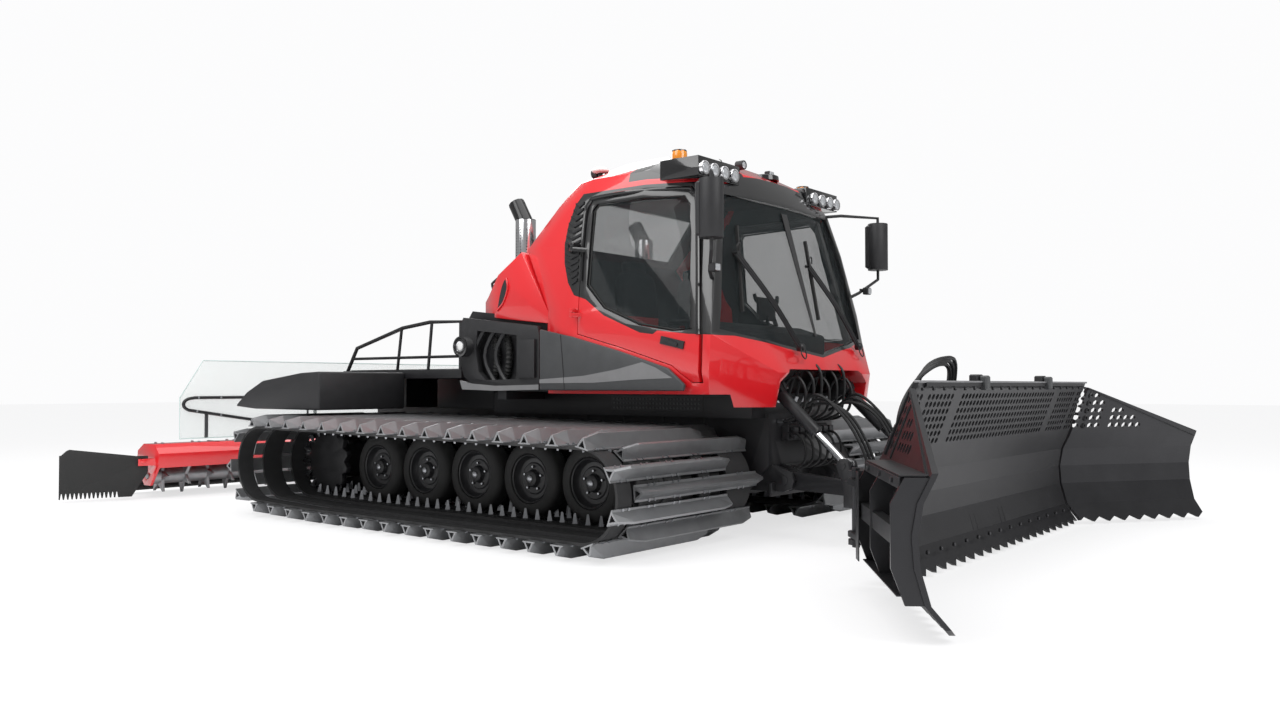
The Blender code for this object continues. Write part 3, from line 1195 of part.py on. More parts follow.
def make_tiller():
    pieces = [box("cross", (TILLER_ARM_END - HITCH_ARM_T, -CROSS_REACH, CROSS_BAR_Z[0]),
                  (TILLER_ARM_END + HITCH_ARM_T / 2, CROSS_REACH, CROSS_BAR_Z[1]))]
    roots = [(TILLER_ARM_END, CROSS_BAR_Z[0] + EAR_GAP), (TILLER_ARM_END, CROSS_BAR_Z[1] - EAR_GAP)]
    for side in (-1, 1):
        low, high = side * HITCH_ARM_Y - HITCH_ARM_T / 2, side * HITCH_ARM_Y + HITCH_ARM_T / 2
        pieces.append(lever("arm", (HITCH_X, HITCH_Z), EAR_R * EYE_SHARE, roots, low, high, PIN_R))
    roots = [(TILLER_ARM_END - EAR_T, TILT_AXIS[1] - LUG_R), (TILLER_ARM_END - EAR_T, TILT_AXIS[1] + LUG_R)]
    for y in (-TILT_LUG_Y, TILT_LUG_Y):
        pieces.append(lever("lug", TILT_AXIS, LUG_R, roots, y - LUG_T / 2, y + LUG_T / 2))
        half = LUG_T / 2 + EAR_GAP + RIB_T + EAR_GAP
        pieces.append(rod("tilt_pin", (TILT_AXIS[0], y - half, TILT_AXIS[1]), (TILT_AXIS[0], y + half, TILT_AXIS[1]),
                          SMALL_PIN_R, 8))
    pivot_at(union("tiller_arm", pieces, "black"), (HITCH_X, 0, HITCH_Z))

    cover = prism("cover", TILLER_HOOD + [(x, z) for x, z in reversed(grown_open(TILLER_HOOD, -TILLER_WALL))],
                  -TILLER_HALF, TILLER_HALF, colour="red")
    pieces = [cover]
    for side in (-1, 1):
        low, high = sorted((side * (TILLER_HALF - END_T), side * TILLER_HALF))
        plate = prism("end", [(-3.74, 0.30), (-3.72, 0.44), (-3.81, 0.52), (-4.02, 0.52), (-4.13, 0.45), (-4.16, 0.30),
                              (-4.00, 0.12), (-3.88, 0.12)], low, high, colour="red")
        pieces.append(cut(plate, rod("bearing", (SHAFT_AT[0], low - 0.1, SHAFT_AT[1]),
                                     (SHAFT_AT[0], high + 0.1, SHAFT_AT[1]), running_fit(SHAFT_STUB, 24), 24)))
    roots = [(TILT_AXIS[0] - 0.135, TILT_AXIS[1] - LUG_R), (TILT_AXIS[0] - 0.135, TILT_AXIS[1] + LUG_R)]
    for y in (-TILT_LUG_Y, TILT_LUG_Y):
        for offset in (-1, 1):
            middle = y + offset * (LUG_T / 2 + EAR_GAP + RIB_T / 2)
            pieces.append(lever("lug", TILT_AXIS, LUG_R, roots, middle - RIB_T / 2, middle + RIB_T / 2,
                                SMALL_PIN_R))
    x, y, z = FLAP_PIVOT
    reach = FLAP_T / 2 + EAR_GAP
    brackets = [rod("pin", (x - reach - 2 * RIB_T, -y, z), (x + reach + 2 * RIB_T, -y, z), SMALL_PIN_R, 8)]
    for low in (x - reach - RIB_T, x + reach):
        brackets.append(box("bracket", (low, -y - LUG_R, z - LUG_R), (low + RIB_T, -y + 2.6 * LUG_R, z + LUG_R / 2)))
    for bracket in brackets:
        turned(bracket, -FLAP_SWEEP, (0, 0, 1), (x, -y, 0))
    pieces += brackets + [mirrored(bracket, "twin") for bracket in brackets]
    tilt_pivot = (TILT_AXIS[0], 0, TILT_AXIS[1])
    pivot_at(union("tiller_hood", pieces, "red"), tilt_pivot)
    pivot_at(toothed_shaft(), (SHAFT_AT[0], 0, SHAFT_AT[1]))
    comb = prism("finisher_comb", COMB, -TILLER_HALF + 2 * END_T, TILLER_HALF - 2 * END_T, colour="rubber")
    pivot_at(comb, tilt_pivot)
    guard = prism("snow_guard", GUARD, GUARD_X - GUARD_T, GUARD_X, "YZ", "clear")
    pivot_at(guard, tilt_pivot)
    back = GUARD_X - GUARD_T - RAIL_R - SEAT_GAP
    posts = [tube("rail", [(back, -GUARD_RAIL_HALF, GUARD_RAIL_Z), (back, GUARD_RAIL_HALF, GUARD_RAIL_Z)], RAIL_R, 6)]
    for y in GUARD_POSTS_Y:
        posts.append(tube("post", [(x, y, z) for x, z in POST_LINE] + [(back, y, GUARD_RAIL_Z - 0.1),
                                                                     (back, y, POST_TOP)], RAIL_R * EYE_SHARE, 6))
    frame = cut(union("guard_frame", posts, "black"),
                prism("hood_space", grown(TILLER_HOOD, SEAT_GAP), -TILLER_HALF, TILLER_HALF))
    frame.name = "guard_frame"
    pivot_at(frame, tilt_pivot)
    x, y, z = FLAP_PIVOT
    start = -y + FLAP_EDGE
    flap = cut(prism("flap", [(start - d, high) for d, high in FLAP], x - FLAP_T / 2, x + FLAP_T / 2, "YZ"),
               rod("hole", (x - FLAP_T, -y, z), (x + FLAP_T, -y, z), running_fit(SMALL_PIN_R, 10), 10))
    turned(flap, -FLAP_SWEEP, (0, 0, 1), (x, -y, 0))
    for piece in pair(flap, "tiller_flap"):
        side = -1 if piece.name.endswith("right") else 1
        pivot_at(piece, (x, side * y, z))


def grown_open(line, by):
    """An open outline moved to one side by a distance."""
    result = []
    last = len(line) - 1
    for k, here in enumerate(line):
        normals = []
        for start, end in ((line[max(k - 1, 0)], line[max(k, 1)]), (line[min(k, last - 1)], line[min(k + 1, last)])):
            dx, dz = end[0] - start[0], end[1] - start[1]
            size = math.hypot(dx, dz)
            normals.append((dz / size, -dx / size))
        mx, mz = normals[0][0] + normals[1][0], normals[0][1] + normals[1][1]
        share = 2 / (mx * mx + mz * mz)
        result.append((here[0] + mx * share * by, here[1] + mz * share * by))
    return result


def run():
    make_tracks()
    make_wheels()
    make_sprockets()
    make_chassis()
    make_cab()
    make_hood()
    make_bay()
    make_roof()
    make_seats()
    make_platform()
    make_push_frame()
    make_carrier()
    make_yoke()
    make_blade()
    make_cylinders()
    make_tiller()


run()
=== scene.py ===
import json
import math

import bmesh
import bpy
import numpy as np
from mathutils import Matrix, Vector
from mathutils.bvhtree import BVHTree

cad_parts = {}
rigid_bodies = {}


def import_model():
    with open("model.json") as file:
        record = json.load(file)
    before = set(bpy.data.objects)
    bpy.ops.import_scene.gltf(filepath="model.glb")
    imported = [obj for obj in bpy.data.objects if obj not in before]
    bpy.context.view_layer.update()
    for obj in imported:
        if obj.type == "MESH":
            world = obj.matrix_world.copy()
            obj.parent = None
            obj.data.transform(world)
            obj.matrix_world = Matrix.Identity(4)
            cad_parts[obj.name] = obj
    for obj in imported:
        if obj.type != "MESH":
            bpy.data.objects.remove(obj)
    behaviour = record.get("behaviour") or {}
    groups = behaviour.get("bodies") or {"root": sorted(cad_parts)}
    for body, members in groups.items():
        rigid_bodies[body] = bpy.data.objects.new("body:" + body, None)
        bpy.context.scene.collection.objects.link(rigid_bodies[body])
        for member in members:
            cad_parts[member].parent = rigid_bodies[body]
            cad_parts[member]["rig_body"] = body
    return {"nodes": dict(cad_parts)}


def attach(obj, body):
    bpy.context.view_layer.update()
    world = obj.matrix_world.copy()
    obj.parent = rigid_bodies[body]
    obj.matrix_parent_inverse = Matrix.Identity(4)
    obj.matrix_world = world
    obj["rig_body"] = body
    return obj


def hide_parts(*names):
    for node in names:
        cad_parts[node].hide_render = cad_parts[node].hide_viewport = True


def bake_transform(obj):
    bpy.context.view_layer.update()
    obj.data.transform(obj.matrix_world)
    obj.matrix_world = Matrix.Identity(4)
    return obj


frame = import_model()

print("frame loaded:", len(frame["nodes"]), "nodes")
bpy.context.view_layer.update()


# shader maths: a wire or a socket is linked, and a plain value is set
def plug(tree, value, socket):
    value = getattr(value, "socket", value)
    if isinstance(value, bpy.types.NodeSocket):
        tree.links.new(value, socket)
    else:
        socket.default_value = value


class Wire:
    # wraps a socket, so that shader maths is written as an expression; every step adds a Math node
    def __init__(self, tree, socket):
        self.tree = tree
        self.socket = socket

    def math(self, operation, *others):
        node = self.tree.nodes.new("ShaderNodeMath")
        node.operation = operation
        for place, value in enumerate((self,) + others):
            plug(self.tree, value, node.inputs[place])
        return Wire(self.tree, node.outputs[0])

    def __add__(self, other):
        return self.math("ADD", other)

    def __mul__(self, other):
        return self.math("MULTIPLY", other)

    def __sub__(self, other):
        return self.math("SUBTRACT", other)

    def __rsub__(self, other):
        return (self * -1.0) + other

    def __gt__(self, other):
        return self.math("GREATER_THAN", other)

    def __lt__(self, other):
        return self.math("LESS_THAN", other)

    def abs(self):
        return self.math("ABSOLUTE")

    def max(self, other):
        return self.math("MAXIMUM", other)

    def min(self, other):
        return self.math("MINIMUM", other)

    def clamped(self):
        return self.max(0.0).min(1.0)


class Nodes:
    # a node tree and the ways to add to it
    def __init__(self, tree):
        self.tree = tree

    def add(self, kind, settings=None, **inputs):
        node = self.tree.nodes.new(kind)
        for key, value in (settings or {}).items():
            setattr(node, key, value)
        for key, value in inputs.items():
            plug(self.tree, value, node.inputs[key.replace("_", " ")])
        return node

    def mixShaders(self, factor, first, second):
        node = self.add("ShaderNodeMixShader")
        for place, value in enumerate((factor, first, second)):
            plug(self.tree, value, node.inputs[place])
        return node.outputs[0]


class Paint(Nodes):
    # one node material: a Principled shader and a few ways to feed it
    def __init__(self, name, **values):
        self.material = bpy.data.materials.new(name)
        self.material.use_nodes = True
        super().__init__(self.material.node_tree)
        self.shader = self.tree.nodes["Principled BSDF"]
        for socket, value in values.items():
            self.shader.inputs[socket.replace("_", " ")].default_value = value
        self.place = self.add("ShaderNodeTexCoord").outputs["Object"]
        split = self.add("ShaderNodeSeparateXYZ", Vector=self.place)
        self.x, self.y, self.z = (Wire(self.tree, split.outputs[k]) for k in range(3))

    def noise(self, scale, detail=3.0, rough=0.55, stretch=(1.0, 1.0, 1.0)):
        spot = self.add("ShaderNodeMapping", Vector=self.place, Scale=stretch)
        node = self.add("ShaderNodeTexNoise", Vector=spot.outputs[0], Scale=scale, Detail=detail, Roughness=rough)
        return Wire(self.tree, node.outputs[0])

    def mix(self, factor, first, second):
        # first and second are colours or colour sockets
        node = self.add("ShaderNodeMix", {"data_type": "RGBA"})
        plug(self.tree, factor, node.inputs[0])
        for place, value in ((6, first), (7, second)):
            plug(self.tree, (*value, 1.0) if isinstance(value, tuple) else value, node.inputs[place])
        return node.outputs[2]

    def curve(self, value, stops):
        # a line through the stops, each an input and an output, kept in a colour ramp
        first, last, least = stops[0][0], stops[-1][0], min(out for _, out in stops)
        share = self.add("ShaderNodeMapRange", Value=value, From_Min=first, From_Max=last)
        ramp = self.add("ShaderNodeValToRGB", Fac=share.outputs["Result"])
        while len(ramp.color_ramp.elements) < len(stops):
            ramp.color_ramp.elements.new(0.5)
        for element, (place, out) in zip(ramp.color_ramp.elements, stops):
            element.position = (place - first) / (last - first)
            element.color = (out - least, out - least, out - least, 1.0)
        return Wire(self.tree, ramp.outputs["Color"]) + least

    def feed(self, socket, value):
        plug(self.tree, value, self.shader.inputs[socket])

    def bump(self, height, strength=0.2, distance=0.002):
        node = self.add("ShaderNodeBump", Strength=strength, Distance=distance, Height=height)
        self.feed("Normal", node.outputs[0])

    def worn(self, colour, spread, rough, scale, bump, bumpScale=120.0):
        # colour drifts lighter and darker with a noise, roughness follows the same noise, and a second noise gives the
        # bump
        drift = self.noise(scale, 4.0)
        dark = tuple(c * (1.0 - spread) for c in colour)
        light = tuple(min(1.0, c * (1.0 + spread)) for c in colour)
        self.feed("Base Color", self.mix(drift, dark, light))
        self.feed("Roughness", drift * (rough[1] - rough[0]) + rough[0])
        if bump:
            self.bump(self.noise(bumpScale, 2.0), bump)
        return self


def wornPaint(name, colour, spread, rough, scale, bump, bumpScale=120.0, values=None):
    return Paint(name, **(values or {})).worn(colour, spread, rough, scale, bump, bumpScale).material


def placed(name, data):
    thing = bpy.data.objects.new(name, data)
    bpy.context.scene.collection.objects.link(thing)
    return thing


def shade(mesh, angle):
    # smooth faces, and edges sharper than the angle stay sharp
    mesh.polygons.foreach_set("use_smooth", [True] * len(mesh.polygons))
    mesh.set_sharp_from_angle(angle=math.radians(angle))


def surface(name, verts, faces, material, body, slotName=None, smooth=True):
    mesh = bpy.data.meshes.new(name)
    mesh.from_pydata(np.asarray(verts, float).tolist(), [], [list(map(int, f)) for f in faces])
    mesh.materials.append(material)
    mesh.update()
    shape = bmesh.new()
    shape.from_mesh(mesh)
    bmesh.ops.recalc_face_normals(shape, faces=shape.faces)
    shape.to_mesh(mesh)
    shape.free()
    if smooth:
        shade(mesh, 35.0)
    piece = placed(name, mesh)
    if body:
        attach(piece, body)
    return piece


def gridFaces(rows, cols, closeRows=False, closeCols=False):
    # quads of a rows by cols grid of points, joined round in either direction when it closes
    r = np.arange(rows if closeRows else rows - 1)
    c = np.arange(cols if closeCols else cols - 1)
    r, c = np.meshgrid(r, c, indexing="ij")
    r2, c2 = (r + 1) % rows, (c + 1) % cols
    quads = np.stack([r * cols + c, r * cols + c2, r2 * cols + c2, r2 * cols + c], -1)
    return quads.reshape(-1, 4)


def joined(parts):
    # several (verts, faces) as one
    verts, faces, start = [], [], 0
    for v, f in parts:
        verts.append(np.asarray(v, float))
        faces += [[int(i) + start for i in face] for face in f]
        start += len(v)
    return np.concatenate(verts), faces


def lathe(profile, centre, steps=40, axis="y"):
    # the profile (radius, along) is turned about an axis through the centre: radius times cos and sin of the angle
    profile = np.asarray(profile, float)
    angle = np.linspace(0, 2 * math.pi, steps, endpoint=False)
    across = profile[:, 0][:, None] * np.cos(angle)[None]
    up = profile[:, 0][:, None] * np.sin(angle)[None]
    along = np.repeat(profile[:, 1][:, None], steps, 1)
    order = {"y": (across, along, up), "x": (along, across, up), "z": (across, up, along)}[axis]
    verts = np.stack(order, -1).reshape(-1, 3) + np.asarray(centre, float)
    faces = [list(f) for f in gridFaces(len(profile), steps, closeCols=True)]
    for row in (0, len(profile) - 1):
        if profile[row, 0] > 0.0005:
            faces.append([row * steps + k for k in range(steps)])
    return verts, faces


def smoothPath(points, steps=8):
    # Catmull-Rom curve: each span is a cubic through its two points, led by their neighbours
    p = np.asarray(points, float)
    p = np.concatenate([2 * p[:1] - p[1:2], p, 2 * p[-1:] - p[-2:-1]])
    t = np.linspace(0, 1, steps, endpoint=False)[:, None]
    spans = []
    for k in range(1, len(p) - 2):
        a, b, c, d = p[k - 1], p[k], p[k + 1], p[k + 2]
        spans.append(0.5 * (2 * b + (c - a) * t + (2 * a - 5 * b + 4 * c - d) * t ** 2
                            + (3 * b - a - 3 * c + d) * t ** 3))
    return np.concatenate(spans + [p[-2:-1]])


def pipe(points, radius, sides=10, closed=False):
    # a circle carried along the points; each ring stands square to the path, turned as little as possible
    p = np.asarray(points, float)
    ahead = np.roll(p, -1, 0) - np.roll(p, 1, 0) if closed else np.gradient(p, axis=0)
    ahead /= np.linalg.norm(ahead, axis=1)[:, None]
    side = np.cross(ahead[0], (0.0, 0.0, 1.0))
    if np.linalg.norm(side) < 0.1:
        side = np.cross(ahead[0], (0.0, 1.0, 0.0))
    sideRows = []
    for direction in ahead:
        side = side - direction * np.dot(side, direction)
        side = side / np.linalg.norm(side)
        sideRows.append(side)
    sideRows = np.array(sideRows)
    up = np.cross(sideRows, ahead)
    angle = np.linspace(0, 2 * math.pi, sides, endpoint=False)
    radius = np.broadcast_to(np.asarray(radius, float), (len(p),))
    ring = (np.cos(angle)[None, :, None] * sideRows[:, None] + np.sin(angle)[None, :, None] * up[:, None])
    verts = (p[:, None] + ring * radius[:, None, None]).reshape(-1, 3)
    faces = [list(f) for f in gridFaces(len(p), sides, closeRows=closed, closeCols=True)]
    if not closed:
        faces.append(list(range(sides)))
        faces.append([(len(p) - 1) * sides + k for k in range(sides)])
    return verts, faces


def block(low, high, bevel=0.006):
    # a box whose edges are cut by the bevel: its eight corners become 24 points
    low, high = np.minimum(low, high), np.maximum(low, high)
    bevel = min(bevel, float((high - low).min()) * 0.45)
    shape = bmesh.new()
    bmesh.ops.create_cube(shape, size=1.0)
    for vert in shape.verts:
        vert.co = [low[a] if vert.co[a] < 0 else high[a] for a in range(3)]
    bmesh.ops.bevel(shape, geom=list(shape.edges), offset=bevel, segments=1, affect="EDGES")
    shape.verts.index_update()
    verts = [tuple(v.co) for v in shape.verts]
    faces = [[v.index for v in f.verts] for f in shape.faces]
    shape.free()
    return np.array(verts), faces


def slab(outline, low, high, plane="XZ"):
    # a flat outline, in x and z or in y and z, given a thickness across its plane
    a, b = np.asarray(outline, float).T
    count = len(a)
    levels = [np.full(count, level) for level in (low, high)]
    layers = [np.stack((a, level, b) if plane == "XZ" else (level, a, b), -1) for level in levels]
    faces = [list(range(count)), list(range(count, 2 * count))]
    return np.concatenate(layers), faces + gridFaces(2, count, closeCols=True).tolist()


def flipped(part):
    # the same part on the machine's other side
    verts, faces = part
    return np.asarray(verts) * (1, -1, 1), faces


machineSides = (("right", lambda part: part, 1), ("left", flipped, -1))


def add(name, parts, material, body="base", slotName=None, smooth=True):
    return surface(name, *joined(parts), material, body, slotName, smooth)


def addPair(name, parts, material, body="base", slotName=None, smooth=True, standsFor=None):
    # the right side's parts, and the same parts mirrored for the left
    for sideName, turnSide, _ in machineSides:
        whole = f"door_{sideName}" if body == "door" else body
        piece = add(f"{name}_{sideName}", [turnSide(part) for part in parts], material, whole, slotName, smooth)
        if standsFor:
            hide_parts(f"{standsFor}_{sideName}")


def bakeModifiers(piece):
    graph = bpy.context.evaluated_depsgraph_get()
    bpy.context.view_layer.update()
    mesh = bpy.data.meshes.new_from_object(piece.evaluated_get(graph))
    piece.modifiers.clear()
    piece.data = mesh


def refined(node, material, bevel, holes=None, angle=32.0):
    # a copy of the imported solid: merged, flat faces joined, holes cut, edges eased, shaded smooth
    source = frame["nodes"][node]
    mesh = source.data.copy()
    shape = bmesh.new()
    shape.from_mesh(mesh)
    bmesh.ops.remove_doubles(shape, verts=shape.verts, dist=0.0001)
    bmesh.ops.dissolve_limit(shape, angle_limit=math.radians(1.0), verts=shape.verts, edges=shape.edges)
    shape.to_mesh(mesh)
    shape.free()
    mesh.materials.clear()
    mesh.materials.append(material)
    piece = placed(node + "_dressed", mesh)
    if holes is not None:
        cutter = placed("cutter", bpy.data.meshes.new("cutter"))
        cutter.data.from_pydata(np.asarray(holes[0]).tolist(), [], holes[1])
        change = piece.modifiers.new("holes", "BOOLEAN")
        change.operation = "DIFFERENCE"
        change.object = cutter
        bakeModifiers(piece)
        bpy.data.objects.remove(cutter, do_unlink=True)
    change = piece.modifiers.new("edges", "BEVEL")
    change.width = bevel
    change.segments = 2
    change.limit_method = "ANGLE"
    change.angle_limit = math.radians(angle)
    bakeModifiers(piece)
    shade(piece.data, angle)
    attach(piece, source["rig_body"])
    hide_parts(node)


# camera, light and floor
camera = {"place": (6.272, -6.994, 1.109), "azimuth": 38.58874, "lookUp": 1.398223, "lens": 29.175}
turn, rise = math.radians(camera["azimuth"]), -math.radians(camera["lookUp"])
back = Vector((math.sin(turn) * math.cos(rise), -math.cos(turn) * math.cos(rise), math.sin(rise)))
side = Vector((0, 0, 1)).cross(back).normalized()
up = back.cross(side)
cameraData = bpy.data.cameras.new("camera")
cameraData.lens = camera["lens"]
cameraData.sensor_width = 36.0
cameraThing = placed("camera", cameraData)
cameraThing.matrix_world = Matrix.Translation(camera["place"]) @ Matrix((side, up, back)).transposed().to_4x4()
bpy.context.scene.camera = cameraThing
bpy.context.scene.view_settings.view_transform = "Standard"

light = {
    "lamps": (
        # place, aim, size, power
        ((-1.0, -7.0, 7.5), (0.0, 0.0, 0.8), 6.0, 380.0),
        ((8.0, -1.0, 6.0), (2.0, 0.0, 0.9), 4.0, 210.0),
        ((-6.0, 5.0, 7.0), (0.0, 0.0, 1.0), 5.0, 260.0),
        ((0.5, 0.0, 9.0), (0.5, 0.0, 0.0), 7.0, 300.0),
    ),
    # colour and strength of the world: as light, as backdrop, and in reflections
    "lit": ((1.0, 1.0, 1.0, 1.0), 0.8),
    "backdrop": ((0.975, 0.975, 0.98, 1.0), 1.0),
    "mirrored": ((1.0, 1.0, 1.0, 1.0), 0.3),
    "floor": ((0.9, 0.9, 0.905), (0.93, 0.93, 0.94)),
    "floorLevel": -0.003,
    "floorHalf": 60,
    # the share of the floor that glows like the backdrop where the camera sees it
    "floorGlow": 0.66,
    "glowStrength": 1.08,
}
for number, (place, aim, size, power) in enumerate(light["lamps"]):
    lampData = bpy.data.lights.new(f"softLamp{number}", "AREA")
    lampData.shape = "SQUARE"
    lampData.size = size
    lampData.energy = power
    softLamp = placed(f"softLamp{number}", lampData)
    softLamp.location = place
    softLamp.rotation_euler = (Vector(aim) - Vector(place)).to_track_quat("-Z", "Y").to_euler()

world = bpy.data.worlds.new("studio")
bpy.context.scene.world = world
world.use_nodes = True
studio = Nodes(world.node_tree)
studio.tree.nodes.clear()
lit, backdrop, mirrored = (studio.add("ShaderNodeBackground", Color=light[use][0], Strength=light[use][1]).outputs[0]
                           for use in ("lit", "backdrop", "mirrored"))
ray = studio.add("ShaderNodeLightPath").outputs
seen = Wire(studio.tree, ray["Is Camera Ray"]).max(ray["Is Transmission Ray"])
unseen = studio.mixShaders(ray["Is Glossy Ray"], lit, mirrored)
studio.add("ShaderNodeOutputWorld", Surface=studio.mixShaders(seen, unseen, backdrop))

floorPaint = Paint("paleFloor", Roughness=0.75)
floorPaint.feed("Base Color", floorPaint.mix(floorPaint.noise(0.6, 2.0), *light["floor"]))
glow = floorPaint.add("ShaderNodeEmission", Color=light["backdrop"][0], Strength=light["glowStrength"])
seen = Wire(floorPaint.tree, floorPaint.add("ShaderNodeLightPath").outputs["Is Camera Ray"]) * light["floorGlow"]
plug(floorPaint.tree, floorPaint.mixShaders(seen, floorPaint.shader.outputs[0], glow.outputs[0]),
     floorPaint.tree.nodes["Material Output"].inputs[0])
floorMesh = bpy.data.meshes.new("floor")
floorMesh.from_pydata([(light["floorHalf"] * a, light["floorHalf"] * b, light["floorLevel"])
                       for a, b in ((-1, -1), (1, -1), (1, 1), (-1, 1))], [], [(0, 1, 2, 3)])
floorMesh.materials.append(floorPaint.material)
placed("floor", floorMesh)
print("stage ready")


# materials
gloss = {"Coat_Weight": 0.8, "Coat_Roughness": 0.04}


def bodyPaint(name):
    # glossy red with faint drift and a very fine orange peel
    paint = Paint(name, Coat_Weight=1.0, Coat_Roughness=0.03)
    paint.worn((0.72, 0.01, 0.016), 0.06, (0.28, 0.36), 2.0, 0.0)
    paint.bump(paint.noise(260.0, 1.0), 0.02, 0.001)
    return paint


def seeThrough(name, rough, scale, detail, dark, light, alpha):
    # alpha is its least and its gain over the noise
    paint = Paint(name, Roughness=rough, IOR=1.45)
    haze = paint.noise(scale, detail)
    paint.feed("Base Color", paint.mix(haze, dark, light))
    paint.feed("Alpha", haze * alpha[1] + alpha[0])
    return paint.material


red = bodyPaint("redPaint").material
wornPaints = {
    # colour, spread, roughness, scale, bump, scale of the bump, further values
    "blackGloss": ((0.01, 0.01, 0.011), 0.2, (0.12, 0.22), 3.0, 0.02, 120.0, gloss),
    "blackPaint": ((0.016, 0.016, 0.018), 0.35, (0.32, 0.5), 9.0, 0.1, 180.0),
    "blackPlastic": ((0.02, 0.02, 0.022), 0.3, (0.42, 0.6), 14.0, 0.25, 420.0),
    "greyPlastic": ((0.055, 0.057, 0.06), 0.2, (0.35, 0.5), 10.0, 0.2, 380.0),
    "rubber": ((0.018, 0.018, 0.018), 0.35, (0.6, 0.8), 16.0, 0.3, 260.0),
    "beltRubber": ((0.022, 0.022, 0.023), 0.3, (0.55, 0.75), 22.0, 0.4, 150.0),
    "bladeSteel": ((0.036, 0.036, 0.039), 0.3, (0.3, 0.46), 3.5, 0.1, 90.0, {"Metallic": 0.55}),
    "edgeSteel": ((0.06, 0.06, 0.064), 0.4, (0.35, 0.55), 20.0, 0.15, 120.0, {"Metallic": 0.8}),
    "aluminium": ((0.34, 0.345, 0.355), 0.16, (0.34, 0.5), 12.0, 0.12, 200.0, {"Metallic": 0.85}),
    "boltSteel": ((0.42, 0.43, 0.45), 0.2, (0.25, 0.4), 40.0, 0.1, 120.0, {"Metallic": 1.0}),
    "chrome": ((0.78, 0.78, 0.8), 0.05, (0.06, 0.14), 8.0, 0.0, 120.0, {"Metallic": 1.0}),
    "hoseRubber": ((0.014, 0.014, 0.015), 0.3, (0.35, 0.5), 40.0, 0.2, 500.0),
    "rimPaint": ((0.024, 0.024, 0.026), 0.35, (0.35, 0.5), 12.0, 0.12),
    "engineIron": ((0.045, 0.047, 0.05), 0.4, (0.45, 0.65), 14.0, 0.35, 70.0, {"Metallic": 0.3}),
    "whitePlastic": ((0.78, 0.78, 0.77), 0.04, (0.3, 0.42), 12.0, 0.1, 300.0),
    "lighterGrey": ((0.2, 0.2, 0.205), 0.15, (0.25, 0.4), 8.0, 0.05, 120.0, gloss),
    # a lighter grey, more metallic steel for the strip along the blade's top edge
    "paleEdgeSteel": ((0.3, 0.3, 0.31), 0.3, (0.35, 0.5), 9.0, 0.1, 120.0, {"Metallic": 0.6}),
    "sheetEdge": ((0.55, 0.66, 0.64), 0.1, (0.1, 0.2), 4.0, 0.0),
}
(blackGloss, blackPaint, blackPlastic, greyPlastic, rubber, beltRubber, bladeSteel, edgeSteel, aluminium, boltSteel,
 chrome, hoseRubber, rimPaint, engineIron, whitePlastic, lighterGrey, paleEdgeSteel,
 sheetEdge) = (wornPaint(name, *values) for name, values in wornPaints.items())
glass = seeThrough("tintedGlass", 0.03, 1.5, 1.0, (0.02, 0.026, 0.028), (0.034, 0.042, 0.044), (0.3, 0.06))
frontGlass = seeThrough("frontGlass", 0.03, 1.5, 1.0, (0.022, 0.028, 0.03), (0.036, 0.044, 0.046), (0.26, 0.06))
clearSheet = seeThrough("clearSheet", 0.06, 2.0, 2.0, (0.72, 0.8, 0.78), (0.82, 0.88, 0.86), (0.16, 0.1))

lensPaint = Paint("lampLens", Roughness=0.08, Metallic=0.6)
rings = Wire(lensPaint.tree, lensPaint.add("ShaderNodeTexVoronoi", Scale=90.0, Vector=lensPaint.place).outputs[0])
lensPaint.feed("Base Color", lensPaint.mix(rings.clamped(), (0.8, 0.82, 0.84), (0.55, 0.57, 0.6)))
lensPaint.bump(rings, 0.5, 0.002)
lampLens = lensPaint.material
amberPaint = Paint("amberLens", Roughness=0.12, Coat_Weight=1.0)
ribs = amberPaint.noise(60.0, 1.0, stretch=(1, 1, 0.1))
amberPaint.feed("Base Color", amberPaint.mix(ribs, (0.75, 0.2, 0.01), (0.95, 0.38, 0.03)))
amberPaint.bump(ribs, 0.3)
amber = amberPaint.material


def shellPaint():
    # red body with gloss black window frames and roof centre; the line between them is worked out from x, y and z
    paint = bodyPaint("shellPaint")
    aside = paint.y.abs()
    foot = paint.curve(paint.x, shellLook["frameFoot"])
    rear = paint.curve(paint.z, shellLook["frameRear"])
    top, half = shellLook["sideFrame"]
    sideFrame = (paint.z > foot) * (paint.z < top) * (paint.x > rear) * (aside > half)
    gain, level, rearEnd, half = shellLook["nose"]
    noseFrame = (paint.z > aside * gain + level) * (paint.x > rearEnd) * (aside < half)
    low, rearEnd, half = shellLook["roof"]
    roof = (paint.z > low) * (aside > half) * (paint.x > rearEnd)
    frontEnd, low, high, half = shellLook["rearPane"]
    rearFrame = (paint.x < frontEnd) * (paint.z > low) * (paint.z < high) * (aside < half)
    # the skin draws in behind the door and ahead of it, so the lining's edge draws in there too
    drawnIn = (1.0 - paint.x + 0.05).max(0.0) * 0.17 + (paint.x - 1.55).max(0.0) * 0.3
    skin = paint.curve(paint.z, shellLook["skinY"]) - 0.024 - drawnIn
    frontSkin = paint.curve(paint.z, shellLook["frontX"]) - aside * 0.2 - 0.055
    rearSkin = paint.curve(paint.z, shellLook["rearX"]) + 0.03
    inside = (aside < skin) * (paint.x < frontSkin) * (paint.x > rearSkin) * (paint.z < 2.805)
    black = sideFrame.max(noseFrame).max(roof).max(rearFrame).max(inside)
    drift = paint.noise(3.0)
    dark = paint.mix(drift, (0.008, 0.008, 0.009), (0.014, 0.014, 0.015))
    base = paint.shader.inputs["Base Color"].links[0].from_socket
    paint.feed("Base Color", paint.mix(black, base, dark))
    return paint.material


